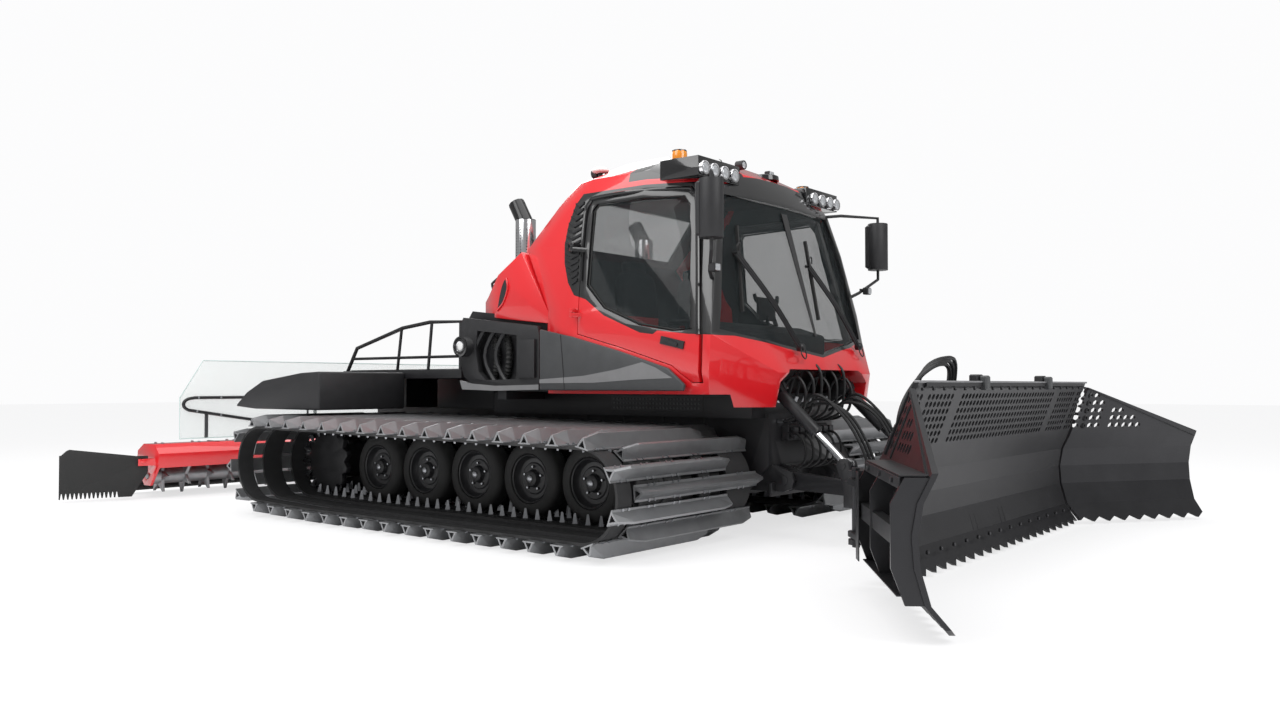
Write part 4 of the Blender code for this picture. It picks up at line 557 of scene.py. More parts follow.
shellLook = {
    # x and z of the foot of the black window frame, along the cab's side
    "frameFoot": ((0.8, 1.8), (0.93, 1.8), (1.06, 1.76), (1.25, 1.63), (1.6, 1.49), (1.72, 1.475), (1.76, 1.5),
                  (2.03, 1.468), (2.25, 1.455)),
    # the side window frame's top and the half width it starts at
    "sideFrame": (2.59, 0.8),
    # z and x of the rear end of the black louvre strip
    "frameRear": ((1.78, 0.95), (1.9, 0.865), (2.05, 0.815), (2.2, 0.8), (2.35, 0.82), (2.5, 0.875), (2.6, 0.95)),
    # the windscreen frame's rise with y, level in the middle, rear end and half width
    "nose": (0.15, 1.318, 2.02, 1.13),
    # the black roof sides' foot, rear end and half width of the red between them
    "roof": (2.63, 1.38, 0.42),
    # the rear window frame's front end, foot, top and half width
    "rearPane": (0.8, 2.23, 2.63, 0.83),
    # z and the outer skin's half width, front and rear there; what lies inside them is lined in black
    "skinY": ((0.96, 1.1), (1.2, 1.16), (1.7, 1.13), (2.2, 1.075), (2.53, 1.03), (2.7, 0.96), (2.84, 0.7)),
    "frontX": ((0.96, 2.44), (1.2, 2.48), (1.465, 2.41), (1.7, 2.345), (2.2, 2.205), (2.53, 2.11), (2.7, 2.02),
               (2.84, 1.74)),
    "rearX": ((0.96, 0.62), (1.7, 0.62), (2.2, 0.34), (2.53, 0.64), (2.7, 0.79), (2.84, 0.98)),
}
shellRed = shellPaint()


def stackPaint():
    # polished pipe with a black cut tip above; below it the guard's small holes are painted as dark dots, painted shade
    # seen through them
    paint = Paint("stackMetal")
    holes = paint.add("ShaderNodeTexVoronoi", Vector=paint.place, Scale=42.0, Randomness=0.12)
    # dark dots in rows of Voronoi cells: painted shade in place of real holes
    dots = (Wire(paint.tree, holes.outputs[0]) < 0.26) * (paint.z < 2.42) * (paint.z > 2.12)
    tip = paint.z > 2.495
    dark = dots.max(tip)
    drift = paint.noise(9.0)
    bright = paint.mix(drift, (0.7, 0.7, 0.72), (0.82, 0.82, 0.84))
    paint.feed("Base Color", paint.mix(dark, bright, (0.01, 0.01, 0.011)))
    paint.feed("Metallic", 1.0 - dark)
    paint.feed("Roughness", drift * 0.1 + 0.14)
    return paint.material


stackMetal = stackPaint()
print("materials ready")


# track: aluminium bars, rubber belts, guide teeth
track = {
    # x, z and radius of the belt round idler, front wheel and first wheel
    "circles": ((-1.765, 0.4403, 0.3), (1.9, 0.4103, 0.2903), (-1.035, 0.4103, 0.2903)),
    "barsA": (-2.182, -0.93),
    "barsB": (-1.965, -0.56),
    "belts": ((-2.12, -1.985), (-1.885, -1.705), (-1.605, -1.455), (-1.255, -1.125), (-0.925, -0.62)),
    "beltThick": 0.0198,
    "section": ((-0.054, 0.02), (-0.054, 0.027), (-0.04, 0.03), (-0.008, 0.119), (0.008, 0.119),
                (0.04, 0.03), (0.054, 0.027), (0.054, 0.02)),
    "hollow": ((-0.026, 0.03), (0.0, 0.096), (0.026, 0.03)),
    "barFoot": 0.03,
    "endSlope": (0.13, 0.66),
    "barPitch": 0.25,
    "boltAlong": (-0.043, 0.043),
    "boltAcross": 0.03,
    # foot, top and radius of a bolt, and then sides and share at the tip of a guide tooth
    "bolt": (0.027, 0.037, 0.011),
    "guide": (-0.0005, -0.075, 0.026, 4, 0.35),
    "guides": (-1.462, -1.252, -1.128, -0.922),
}


def beltLine():
    # straight tangents and arcs round the three circles; rows are x, z, outward x, outward z, and length
    circles = track["circles"]
    corners = []
    for first, second in zip(circles, circles[1:] + circles[:1]):
        dx, dz = second[0] - first[0], second[1] - first[1]
        angle = math.atan2(dz, dx) + math.acos((first[2] - second[2]) / math.hypot(dx, dz))
        corners.append(angle)
    rows = []
    for k in range(3):
        first, second, angle = circles[k], circles[(k + 1) % 3], corners[k]
        ahead = corners[(k + 1) % 3]
        out = np.array((math.cos(angle), math.sin(angle)))
        start, stop = np.array(first[:2]) + first[2] * out, np.array(second[:2]) + second[2] * out
        count = max(2, int(np.linalg.norm(stop - start) / 0.05))
        share = np.linspace(0, 1, count, endpoint=False)[:, None]
        rows.append(np.concatenate([start + (stop - start) * share, np.repeat(out[None], count, 0)], 1))
        while ahead > angle:
            ahead -= 2 * math.pi
        turns = np.linspace(angle, ahead, max(2, int((angle - ahead) / 0.1)), endpoint=False)
        out = np.stack([np.cos(turns), np.sin(turns)], -1)
        rows.append(np.concatenate([np.array(second[:2]) + second[2] * out, out], 1))
    line = np.concatenate(rows)
    span = np.linalg.norm(np.roll(line[:, :2], -1, 0) - line[:, :2], axis=1)
    return line, np.concatenate([[0.0], np.cumsum(span)])


line, lengths = beltLine()
looped = np.concatenate([line, line[:1]])


def onBelt(distance, rise):
    # place on the belt at a distance along it, raised along the outward direction
    distance = np.asarray(distance, float) % lengths[-1]
    spot = np.stack([np.interp(distance, lengths, looped[:, k]) for k in range(4)], -1)
    return spot[..., :2] + spot[..., 2:] * np.asarray(rise, float)[..., None]


def barRow(sections, centres, low, high, hollow):
    # every bar is one section (along, rise) set square to the belt at its centre, drawn from low to high across;
    # near both ends the rise above the foot shrinks, so the ridge slopes down
    middle = np.stack([onBelt(centres, 0.0 * centres), onBelt(centres, 0.0 * centres + 1.0)], 1)
    out = middle[:, 1] - middle[:, 0]
    along = np.stack([out[:, 1], -out[:, 0]], -1)
    points = np.concatenate([sections, hollow])
    count, n = len(points), len(sections)
    slope, least = track["endSlope"]
    layers, footLevel = [], track["barFoot"]
    for y, share in ((low, least), (low + slope, 1.0), (high - slope, 1.0), (high, least)):
        rise = footLevel + (points[:, 1:] - footLevel) * np.where(points[:, 1:] > footLevel, share, 1.0)
        flat = middle[:, 0][:, None] + along[:, None] * points[None, :, :1] + out[:, None] * rise[None]
        layers.append(np.stack([flat[..., 0], np.full(flat.shape[:2], y), flat[..., 1]], -1))
    verts = np.stack(layers, 1)
    shape = []
    for layer in range(3):
        a, b = layer * count, (layer + 1) * count
        shape += [[a + k, a + (k + 1) % n, b + (k + 1) % n, b + k] for k in range(n)]
        shape += [[a + n + k, a + n + (k + 1) % 3, b + n + (k + 1) % 3, b + n + k] for k in range(3)]
    ends = [[0, 1, n], [1, 2, n], [2, 3, n + 1, n], [3, 4, n + 1], [4, 5, n + 2, n + 1], [5, 6, n + 2], [6, 7, n + 2],
            [7, 0, n, n + 2]]
    shape += ends + [[3 * count + i for i in face] for face in ends]
    faces = [[i + bar * 4 * count for i in face] for bar in range(len(centres)) for face in shape]
    return verts.reshape(-1, 3), faces


def studs(centres, offsets, ys, low, high, radius, sides=6, tip=1.0):
    # small many-sided heads standing on the belt: one for each bar, offset along it, and y
    angle = np.linspace(0, 2 * math.pi, sides, endpoint=False)
    bar, offset, y = [a.ravel() for a in np.meshgrid(centres, offsets, ys, indexing="ij")]
    layers = []
    for level, share in ((low, 1.0), (high, tip)):
        spot = onBelt(bar[:, None] + offset[:, None] + radius * share * np.cos(angle)[None],
                      np.full((len(bar), sides), level))
        across = y[:, None] + radius * share * np.sin(angle)[None]
        layers.append(np.stack([spot[..., 0], across, spot[..., 1]], -1))
    verts = np.stack(layers, 1).reshape(-1, 3)
    one = gridFaces(2, sides, closeCols=True).tolist() + [[sides + k for k in range(sides)], list(range(sides))]
    faces = [[i + n * 2 * sides for i in face] for n in range(len(bar)) for face in one]
    return verts, faces


def beltStrip(low, high, floor, top):
    # a belt is a rectangle carried round the line
    inner, outer = line[:, :2] + line[:, 2:] * floor, line[:, :2] + line[:, 2:] * top
    ring = []
    for flat, y in ((inner, low), (outer, low), (outer, high), (inner, high)):
        ring.append(np.stack([flat[:, 0], np.full(len(flat), y), flat[:, 1]], -1))
    verts = np.stack(ring, 1).reshape(-1, 3)
    return verts, gridFaces(len(line), 4, closeRows=True, closeCols=True).tolist()


bars = 2 * round(lengths[-1] / track["barPitch"])
step = lengths[-1] / bars
even, odd = np.arange(0, bars, 2) * step, np.arange(1, bars, 2) * step
sections, hollow = np.array(track["section"]), np.array(track["hollow"])
barParts = [barRow(sections, even, *track["barsA"], hollow), barRow(sections, odd, *track["barsB"], hollow)]
beltParts = [beltStrip(low, high, 0.0, track["beltThick"]) for low, high in track["belts"]]
boltParts = []
for (low, high), rows in zip(track["belts"], ((even,), (even, odd), (even, odd), (even, odd), (odd,))):
    ys = (low + high) / 2 + np.array((-track["boltAcross"], track["boltAcross"]))
    boltParts += [studs(centres, track["boltAlong"], ys, *track["bolt"]) for centres in rows]
guideParts = [studs(np.concatenate([even, odd]), (0.0,), track["guides"], *track["guide"])]
addPair("trackBars", barParts, aluminium, "base", "track_bars", smooth=False, standsFor="track")
addPair("trackBelts", beltParts, beltRubber)
addPair("trackBolts", boltParts, boltSteel, smooth=False)
addPair("trackGuides", guideParts, boltSteel, smooth=False)
print("tracks ready")


# wheels and rockers; the sprockets are dressed with the body pieces below
wheel = {
    "tyre": ((0.186, -1.428), (0.192, -1.437), (0.212, -1.44), (0.24, -1.438), (0.266, -1.43), (0.282, -1.414),
             (0.2895, -1.392), (0.2895, -1.318), (0.282, -1.296), (0.266, -1.28), (0.24, -1.272), (0.192, -1.271),
             (0.186, -1.28)),
    "rim": ((0.186, -1.29), (0.186, -1.425), (0.18, -1.43), (0.172, -1.426), (0.163, -1.392), (0.15, -1.378),
            (0.122, -1.376), (0.112, -1.384), (0.07, -1.386), (0.064, -1.4), (0.056, -1.418), (0.04, -1.424),
            (0.02, -1.425)),
    "hub": ((0.026, -1.422), (0.026, -1.432), (0.018, -1.436)),
    "axle": ((0.045, -1.29), (0.045, -0.7)),
    "pivot": ((0.06, -0.4803), (0.06, -0.83), (0.045, -0.845)),
    "axleZ": 0.4103,
    "centres": (-1.035, -0.432, 0.171, 0.774, 1.377, 1.9),
    "twin": 0.33,
    # number of hub bolts, radius of their circle, and the first one's angle; then a bolt's outline
    "bolts": (5, 0.088, 0.3),
    "bolt": ((0.011, -1.384), (0.011, -1.3984), (0.00825, -1.402)),
    "rocker": (0.055, -0.8, -0.74),
}


def ringLathe(profile, centre, steps=40):
    verts, _ = lathe(profile, centre, steps)
    return verts, gridFaces(len(profile), steps, closeRows=True, closeCols=True).tolist()


for number in range(3):
    pair = wheel["centres"][2 * number:2 * number + 2]
    tyres, rims, rockers, hubBolts = [], [], [], []
    for x in pair:
        spot = np.array((x, 0, wheel["axleZ"]))
        twinSpot = spot + (0, wheel["twin"], 0)
        tyres += [ringLathe(wheel["tyre"], spot), ringLathe(wheel["tyre"], twinSpot)]
        rims += [lathe(wheel["rim"], spot), lathe(wheel["rim"], twinSpot, 24)]
        rockers.append(lathe(wheel["axle"], spot, 20))
        count, circle, first = wheel["bolts"]
        for k in range(count):
            turned = 2 * math.pi * k / count + first
            around = circle * np.array((math.cos(turned), 0, math.sin(turned)))
            hubBolts.append(lathe(wheel["bolt"], spot + around, 6))
        hubBolts.append(lathe(wheel["hub"], spot, 16))
    angle = np.linspace(math.pi / 2, 3 * math.pi / 2, 12)
    radius, low, high = wheel["rocker"]
    arc = radius * np.stack([np.cos(angle), np.sin(angle)], -1)
    ends = [np.array((x, wheel["axleZ"])) for x in pair]
    rockers.append(slab(np.concatenate([ends[0] + arc, ends[1] - arc]), low, high))
    rockers.append(lathe(wheel["pivot"], (sum(pair) / 2, 0, wheel["axleZ"]), 20))
    addPair(f"tyres_{number + 1}", tyres, rubber, "base", "tyre", standsFor=f"wheel_set_{number + 1}")
    addPair(f"rims_{number + 1}", rims, rimPaint)
    addPair(f"rockers_{number + 1}", rockers, blackPaint)
    addPair(f"hubBolts_{number + 1}", hubBolts, boltSteel)
print("wheels ready")


# holes and notches, and the solids that only need paint and eased edges
def boxCutters(origin, u, v, w, us, vs, half, depth):
    # through holes in rows: eight-sided prisms centred on origin + u and v steps, drawn along w
    origin, u, v, w = (np.asarray(a, float) for a in (origin, u, v, w))
    (a, b), share = half, 0.4
    ring = np.array([(-a, -b * share), (-a * share, -b), (a * share, -b), (a, -b * share)])
    ring = np.concatenate([ring, -ring])
    parts = []
    for vStep in vs:
        for uStep in us:
            middle = origin + u * uStep + v * vStep
            flat = middle + ring[:, :1] * u + ring[:, 1:] * v
            verts = np.concatenate([flat - w * depth, flat + w * depth])
            faces = [list(range(7, -1, -1)), list(range(8, 16))]
            faces += [[k, (k + 1) % 8, 8 + (k + 1) % 8, 8 + k] for k in range(8)]
            parts.append((verts, faces))
    return joined(parts)


def outward(part):
    # the same part with every face turned outward
    shape = bmesh.new()
    spots = [shape.verts.new(spot) for spot in part[0]]
    for face in part[1]:
        shape.faces.new([spots[k] for k in face])
    bmesh.ops.recalc_face_normals(shape, faces=shape.faces)
    shape.verts.index_update()
    faces = [[v.index for v in f.verts] for f in shape.faces]
    shape.free()
    return part[0], faces


def spun(part, centre, degrees, axis=2):
    # turned about an upright (or other) axis through the centre
    verts, faces = part
    turnBy = np.array(Matrix.Rotation(math.radians(degrees), 3, "XYZ"[axis]))
    return (np.asarray(verts) - centre) @ turnBy.T + centre, faces


dressed = (
    # nodes, with a star where each side has one; paint, slot, and width of the eased edges
    ("sprocket*", rimPaint, "cast_parts", 0.004),
    ("chassis platform", blackPaint, "black_paint", 0.006),
    ("push_frame tiller_arm", blackPaint, "black_paint", 0.005),
    ("blade_carrier blade_yoke platform_rail*", blackPaint, "black_paint", 0.004),
    ("lift_cylinder*", blackPaint, "black_paint", 0.003),
    ("tiller_hood", red, "red_paint", 0.008),
    ("engine_hood", red, "red_paint", 0.01),
    ("cab_shell", shellRed, "red_paint", 0.01),
    ("door*", shellRed, "red_paint", 0.006),
    ("finisher_comb", rubber, "rubber", 0.003),
    ("console", blackPlastic, "dark_plastic", 0.02),
    ("fender*", blackPlastic, "dark_plastic", 0.018),
    ("mirror*", blackPlastic, "dark_plastic", 0.014),
    ("side_bay*", blackPlastic, "dark_plastic", 0.008),
    ("lamp_pod*", blackGloss, "dark_plastic", 0.012),
    ("side_fairing*", greyPlastic, "grey_plastic", 0.01),
    ("engine_block", engineIron, "cast_parts", 0.02),
    ("snow_guard", clearSheet, "clear_sheet", 0.002),
    ("windshield", frontGlass, "glass", 0.001),
    ("rear_window door_glass*", glass, "glass", 0.001),
    ("lift_rod*", chrome, "chrome", 0.003),
    ("exhaust*", stackMetal, "chrome", 0.002),
    ("tiller_shaft", aluminium, "track_bars", 0.002),
)
for nodes, paint, slotName, bevel in dressed:
    for node in nodes.split():
        for ending in ("_right", "_left") if node.endswith("*") else ("",):
            refined(node.strip("*") + ending, paint, bevel)

flap = {
    "pivot": (-3.86, -2.085, 0.0), "sweep": -20.0, "edge": -2.04,
    # saw teeth: the notches' reach from the edge, pitch, foot, top, and half widths there
    "from": 0.27, "to": 0.75, "pitch": 0.036, "foot": 0.02, "notch": 0.085, "mouth": 0.014, "tip": 0.003,
    "corner": ((-2.86, 0.44), (-2.86, 0.6), (-2.68, 0.6), (-2.68, 0.515), (-2.74, 0.489), (-2.785, 0.445)),
    "cut": 0.05,
}
outlines = []
for reach in np.arange(flap["from"], flap["to"], flap["pitch"]):
    y = flap["edge"] - reach
    outlines.append([(y - flap["mouth"], flap["foot"]), (y + flap["mouth"], flap["foot"]),
                     (y + flap["tip"], flap["notch"]), (y - flap["tip"], flap["notch"])])
outlines.append(flap["corner"])
flapX = flap["pivot"][0]
notches = joined([slab(outline, flapX - flap["cut"], flapX + flap["cut"], "YZ") for outline in outlines])
notches = spun(notches, flap["pivot"], flap["sweep"])
for sideName, turnSide, _ in machineSides:
    refined(f"tiller_flap_{sideName}", rubber, 0.003, outward(turnSide(notches)))
print("body pieces ready")


# blade and wings, with their screens cut through
blade = {
    "profile": ((3.815, 0.06), (3.73, 0.16), (3.685, 0.32), (3.675, 0.46), (3.7, 0.6), (3.755, 0.71), (3.92, 1.135)),
    "hinge": (3.6, 1.72, 0.24),
    "angle": 35.0,
    "flat": 9.0,
    "holes": 58,
    "holePitch": 0.056,
    "holeHalf": (0.0185, 0.0175),
    "rows": (0.075, 0.122, 0.169, 0.216, 0.263, 0.31, 0.357),
    "ribs": (-1.42, -0.95, 0.95, 1.42),
    "ribHalf": 0.031,
    "drawn": 0.06,
    # the wing's screen: height and reach of each row, first hole, pitch, and its rib's place and half width
    "wingRows": ((0.08, 0.76), (0.145, 0.66), (0.21, 0.54), (0.275, 0.4), (0.34, 0.24)),
    "wingHole": (0.024, 0.024),
    "wingFirst": 0.1,
    "wingPitch": 0.067,
    "wingRib": (0.34, 0.037),
}
foot, head = np.array(blade["profile"][5]), np.array(blade["profile"][6])
tall = float(np.linalg.norm(head - foot))
rise = (head - foot) / tall
screenUp = np.array((rise[0], 0.0, rise[1]))
screenOut = np.array((rise[1], 0.0, -rise[0]))
across = np.array((0.0, 1.0, 0.0))
holesAt = [y for y in (np.arange(blade["holes"]) - (blade["holes"] - 1) / 2) * blade["holePitch"]
           if min(abs(y - rib) for rib in blade["ribs"]) > blade["ribHalf"]]
start = np.array((foot[0], 0.0, foot[1]))
screen = (start, across, screenUp, screenOut)
centreHoles = boxCutters(*screen, holesAt, blade["rows"], blade["holeHalf"], blade["drawn"])
refined("blade_center", bladeSteel, 0.003, centreHoles, blade["flat"])
hinge = np.array(blade["hinge"])
ribAt, ribHalf = blade["wingRib"]
wingHoles = []
for row, reach in blade["wingRows"]:
    steps = [-(hinge[1] + s) for s in np.arange(blade["wingFirst"], reach + 0.001, blade["wingPitch"])
             if abs(s - ribAt) > ribHalf]
    wingHoles.append(boxCutters(*screen, steps, (row,), blade["wingHole"], blade["drawn"]))
wingHoles = joined(wingHoles)
for sideName, turnSide, way in machineSides:
    cutters = spun(turnSide(wingHoles), hinge * (1, -way, 1), way * blade["angle"])
    if way < 0:
        cutters = (cutters[0], [face[::-1] for face in cutters[1]])
    refined(f"wing_{sideName}", bladeSteel, 0.003, cutters, blade["flat"])
print("blade ready")


# placing by touch
trees = {}


def touch(node, start, toward):
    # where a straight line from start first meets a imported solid
    if node not in trees:
        thing = frame["nodes"][node]
        spots = [thing.matrix_world @ v.co for v in thing.data.vertices]
        trees[node] = BVHTree.FromPolygons(spots, [tuple(p.vertices) for p in thing.data.polygons])
    spot, normal, _, _ = trees[node].ray_cast(Vector(start), Vector(toward).normalized())
    return spot, normal


def ahead(nodes, x, z, offset, reach=3.0):
    # a place on the right side's skin, lifted off it by the offset; the first of the nodes that is met there
    for node in nodes.split():
        spot, normal = touch(node, (x, -reach, z), (0, 1, 0))
        if spot is not None:
            break
    if normal.y > 0:
        normal = -normal
    return tuple(spot + normal * offset)


def beam(start, stop, wide, thick, taper=1.0):
    # four corners at each end: plus and minus the half width and half thickness
    start, stop, wide, thick = (np.asarray(v, float) for v in (start, stop, wide, thick))
    signs = ((-1, -1), (1, -1), (1, 1), (-1, 1))
    verts = [start + a * wide + b * thick for a, b in signs] + [stop + taper * (a * wide + b * thick) for a, b in signs]
    faces = [[0, 1, 2, 3], [7, 6, 5, 4]] + [[k, 4 + k, 4 + (k + 1) % 4, (k + 1) % 4] for k in range(4)]
    return np.array(verts), faces


def onRoof(x, y):
    return np.array(touch("cab_shell", (x, y, 5.0), (0, 0, -1))[0])


def onGlass(y, z, offset):
    spot, normal = touch("windshield", (4.0, y, z), (-1, 0, 0))
    if spot is None:
        spot, normal = touch("cab_shell", (4.0, y, z), (-1, 0, 0))
    if normal.x < 0:
        normal = -normal
    return np.array(spot + normal * offset)


# cab trim: door tubes, seals, handles, louvre strips, mullion and wipers
trim = {
    "frameTube": ((1.0, 1.9), (0.992, 2.2), (0.995, 2.44), (1.03, 2.515), (1.09, 2.54), (1.45, 2.545), (1.84, 2.54),
                  (1.905, 2.51), (1.945, 2.44), (2.02, 2.05), (2.1, 1.58), (2.118, 1.46)),
    "seal": ((1.075, 1.87), (1.25, 1.69), (1.6, 1.555), (1.9, 1.502), (2.045, 1.508), (1.9, 2.41), (1.845, 2.478),
             (1.105, 2.478), (1.072, 2.44)),
    "handle": ((1.8, 1.432), (2.0, 1.388)),
    # the handle's plate and grip: steps from its two ends, half width and half thickness
    "handleParts": (((0, -0.004, 0), (0, -0.004, 0), (0.006, 0, 0.027), (0, 0.008, 0)),
                    ((0.03, -0.014, 0.004), (-0.05, -0.014, 0.004), (0.003, 0, 0.012), (0, 0.006, 0))),
    # louvres: number, lowest z, spread, x of their front ends, and gap behind their rear ends
    "louvres": (13, 1.9, 0.6, 0.968, 0.012),
    # a louvre's three points: share of the way from rear to front, and rise; then its half width and thickness
    "chevron": ((0.0, 0.014), (0.4, -0.014), (1.0, 0.016)),
    "chevronHalf": ((0, 0, 0.009), (0, 0.008, 0)),
    # z of both ends; then half width, half thickness and share at the foot
    "mullion": (2.44, 1.48),
    "mullionHalf": ((0, 0.042, 0), (0.005, 0, 0.001), 0.35),
    # y and z of each wiper's foot and head
    "wipers": (((-0.3, 1.375), (-0.77, 2.05)), ((0.72, 1.4), (0.15, 2.03))),
    # how far both ends stand off the glass, the bow between them, and step and radius of the arm's tubes
    "armLift": (0.045, 0.035),
    "armBow": (0.02, 0, 0.005),
    "armTubes": ((-0.022, 0.008), (0.0, 0.01), (0.022, 0.008)),
    "armFoot": ((0.03, -0.02), (0.03, 0.02), (0.018, 0.032)),
    "armHead": ((0.012, -0.03), (0.012, 0.012)),
    # y and z of the wiper blade's ends from the arm's head, and its height off the glass
    "bladeEnds": ((0.1, 0.22, 0.012), (-0.02, -0.42, 0.012)),
    "bladeHalf": ((0.002, 0.007, 0), (0.011, 0, 0.002)),
    # hose loops, as steps from the wiper's foot and from its head
    "footLoop": ((0.02, -0.03, -0.01), (0.045, -0.06, -0.055), (0.04, 0.0, -0.085), (0.02, 0.05, -0.05),
                 (0.01, 0.03, 0.0)),
    "headLoop": ((0.01, -0.012, 0.0), (0.02, -0.03, 0.045), (0.018, 0.01, 0.07), (0.01, 0.03, 0.02)),
}
frameTube = smoothPath([ahead("door_right cab_shell", x, z, 0.004) for x, z in trim["frameTube"]], 5)
seal = [ahead("door_glass_right door_right", x, z, 0.002) for x, z in trim["seal"]]
addPair("doorFrameTube", [pipe(frameTube, 0.017)], blackGloss, "door")
addPair("doorSeal", [pipe(seal + seal[:1], 0.007, 8)], rubber, "door")
foot, head = (np.array(ahead("door_right", x, z, 0.0)) for x, z in trim["handle"])
handle = [beam(foot + first, head + last, wide, thick) for first, last, wide, thick in trim["handleParts"]]
addPair("doorHandle", handle, blackPlastic, "door")
chevrons = []
count, lowest, spread, front, gap = trim["louvres"]
for k in range(count):
    z = lowest + spread * k / (count - 1)
    rear = float(np.interp(z, *zip(*shellLook["frameRear"]))) + gap
    ends = [np.array(ahead("cab_shell door_right", (1 - share) * rear + share * front, z + lift, 0.004))
            for share, lift in trim["chevron"]]
    chevrons += [beam(ends[n], ends[n + 1], *trim["chevronHalf"]) for n in (0, 1)]
addPair("louvreStrip", chevrons, blackPaint)
top, bottom = (np.array((touch("windshield", (4.0, 0.0, z), (-1, 0, 0))[0].x + 0.004, 0.0, z)) for z in trim["mullion"])
add("mullion", [beam(top, bottom, *trim["mullionHalf"])], blackGloss)
wipers, wiperBlades, wiperHoses = [], [], []
for foot, head in trim["wipers"]:
    low, high = (onGlass(*spot, lift) for spot, lift in zip((foot, head), trim["armLift"]))
    arm = smoothPath([low, (low + high) / 2 + trim["armBow"], high], 6)
    square = np.cross((high - low) / np.linalg.norm(high - low), (1.0, 0.0, 0.2))
    square /= np.linalg.norm(square)
    wipers += [pipe(arm + square * offset, radius, 8) for offset, radius in trim["armTubes"]]
    wipers += [lathe(trim["armFoot"], low, 20, "x"), lathe(trim["armHead"], high, 12, "x")]
    ends = (onGlass(head[0] + y, head[1] + z, lift) for y, z, lift in trim["bladeEnds"])
    wiperBlades.append(beam(*ends, *trim["bladeHalf"]))
    for spot, loop in ((low, trim["footLoop"]), (high, trim["headLoop"])):
        wiperHoses.append(pipe(smoothPath([spot + stepOff for stepOff in loop], 6), 0.005, 8))
add("wiperArms", wipers, blackPaint)
add("wiperBlades", wiperBlades, rubber)
add("wiperHoses", wiperHoses, hoseRubber)
print("cab trim ready")


# lamps, beacons, aerials and mirrors
lamp = {
    "podY": (0.6, 0.73, 0.86, 0.98), "podZ": 2.655, "podX": 2.067, "podRim": 0.051,
    "beacon": (1.78, 0.9),
    "beaconFoot": ((0.058, 2.735), (0.058, 2.762), (0.05, 2.768)),
    "beaconDome": ((0.0565, 2.762), (0.0565, 2.8), (0.055, 2.815), (0.05, 2.826), (0.04, 2.8315), (0.01, 2.833)),
    "aerialFoot": ((0.018, -0.01), (0.018, 0.012), (0.03, 0.021)),
    "aerialDome": ((0.03, 0.018), (0.062, 0.026), (0.07, 0.036), (0.062, 0.05), (0.04, 0.063), (0.012, 0.069)),
    "centreHood": ((0.11, -0.03), (0.105, 0.006), (0.085, 0.016), (0.05, 0.022), (0.01, 0.024)),
    # places on the roof
    "aerial": (0.93, -0.8), "hoodFoot": (1.86, 0.16), "whip": (1.86, -0.46),
    "whipSteps": (-0.01, 0.0, 0.05), "whipLean": -0.03, "whipTop": 2.835,
    # the square lamp from the hood's foot; its body and lens from there, to which its height is added
    "squareFoot": (0.02, 0.03, 0.02),
    "squareBody": ((-0.03, -0.035, 0.0), (0.02, 0.035, 0.0)),
    "squareLens": ((0.0205, -0.03, 0.004), (0.026, 0.03, -0.004)),
    "squareLeast": 0.03,
    # place on the roof, rise, step to the face, its radius, depth and way, and length and radius of the stem
    "roofLamps": (("rear", 0.86, -0.76, 0.047, -0.03, 0.038, 0.05, -1.0, 0.06, 0.008),
                  ("roof", 1.9, -0.3, 0.041, 0.05, 0.036, 0.06, 1.0, 0.055, 0.012)),
    # the highest that a roof fitting may reach, just inside the solids' box
    "ceiling": 2.838,
}


def lampFace(centre, radius, depth, axis="x", way=1.0):
    # a chrome rim and a slightly domed lens, both turned about the lamp's axis
    rim = ((0.84, -depth), (1.0, -depth), (1.0, 0.0), (0.96, 0.006), (0.86, 0.004))
    lens = ((0.86, -0.002), (0.7, 0.004), (0.4, 0.007), (0.1, 0.008))
    return [lathe([(radius * share, s * way) for share, s in outline], centre, 32, axis) for outline in (rim, lens)]


rims, lenses = zip(*(lampFace((lamp["podX"], -y, lamp["podZ"]), lamp["podRim"], 0.02) for y in lamp["podY"]))
addPair("podRims", rims, chrome)
addPair("podLenses", lenses, lampLens)
bx, by = lamp["beacon"]
addPair("beaconFoot", [lathe(lamp["beaconFoot"], (bx, -by, 0), 28, "z")], blackPlastic)
addPair("beaconDome", [lathe(lamp["beaconDome"], (bx, -by, 0), 28, "z")], amber)
stem = onRoof(*lamp["aerial"])
add("aerialFoot", [lathe(lamp["aerialFoot"], stem, 16, "z")], blackPlastic)
add("aerialDome", [lathe(lamp["aerialDome"], stem, 28, "z")], whitePlastic)
for name, x, y, rise, step, wide, deep, way, stemLength, stemRadius in lamp["roofLamps"]:
    spot = onRoof(x, y) + (0, 0, rise)
    rim, lens = lampFace(spot + (step, 0, 0), wide, deep, "x", way)
    add(f"{name}LampBody", [rim, pipe([spot - (0, 0, stemLength), spot], stemRadius)], blackPlastic)
    add(f"{name}LampLens", [lens], lampLens)
hoodFoot = onRoof(*lamp["hoodFoot"])
add("roofCentreHood", [lathe(lamp["centreHood"], hoodFoot, 28, "z")], blackGloss)
square = hoodFoot + lamp["squareFoot"]
tallness = (0, 0, max(lamp["squareLeast"], lamp["ceiling"] - square[2]))
low, high = lamp["squareBody"]
add("roofSquareLamp", [block(square + low, square + high + tallness)], blackPlastic)
low, high = lamp["squareLens"]
add("roofSquareLens", [block(square + low, square + high + tallness, 0.003)], lampLens)
whip = onRoof(*lamp["whip"])
whipLine = [whip, whip + lamp["whipSteps"], (whip[0] + lamp["whipLean"], whip[1], lamp["whipTop"])]
add("whipAerial", [pipe(whipLine, (0.008, 0.004, 0.002), 8)], blackPlastic)
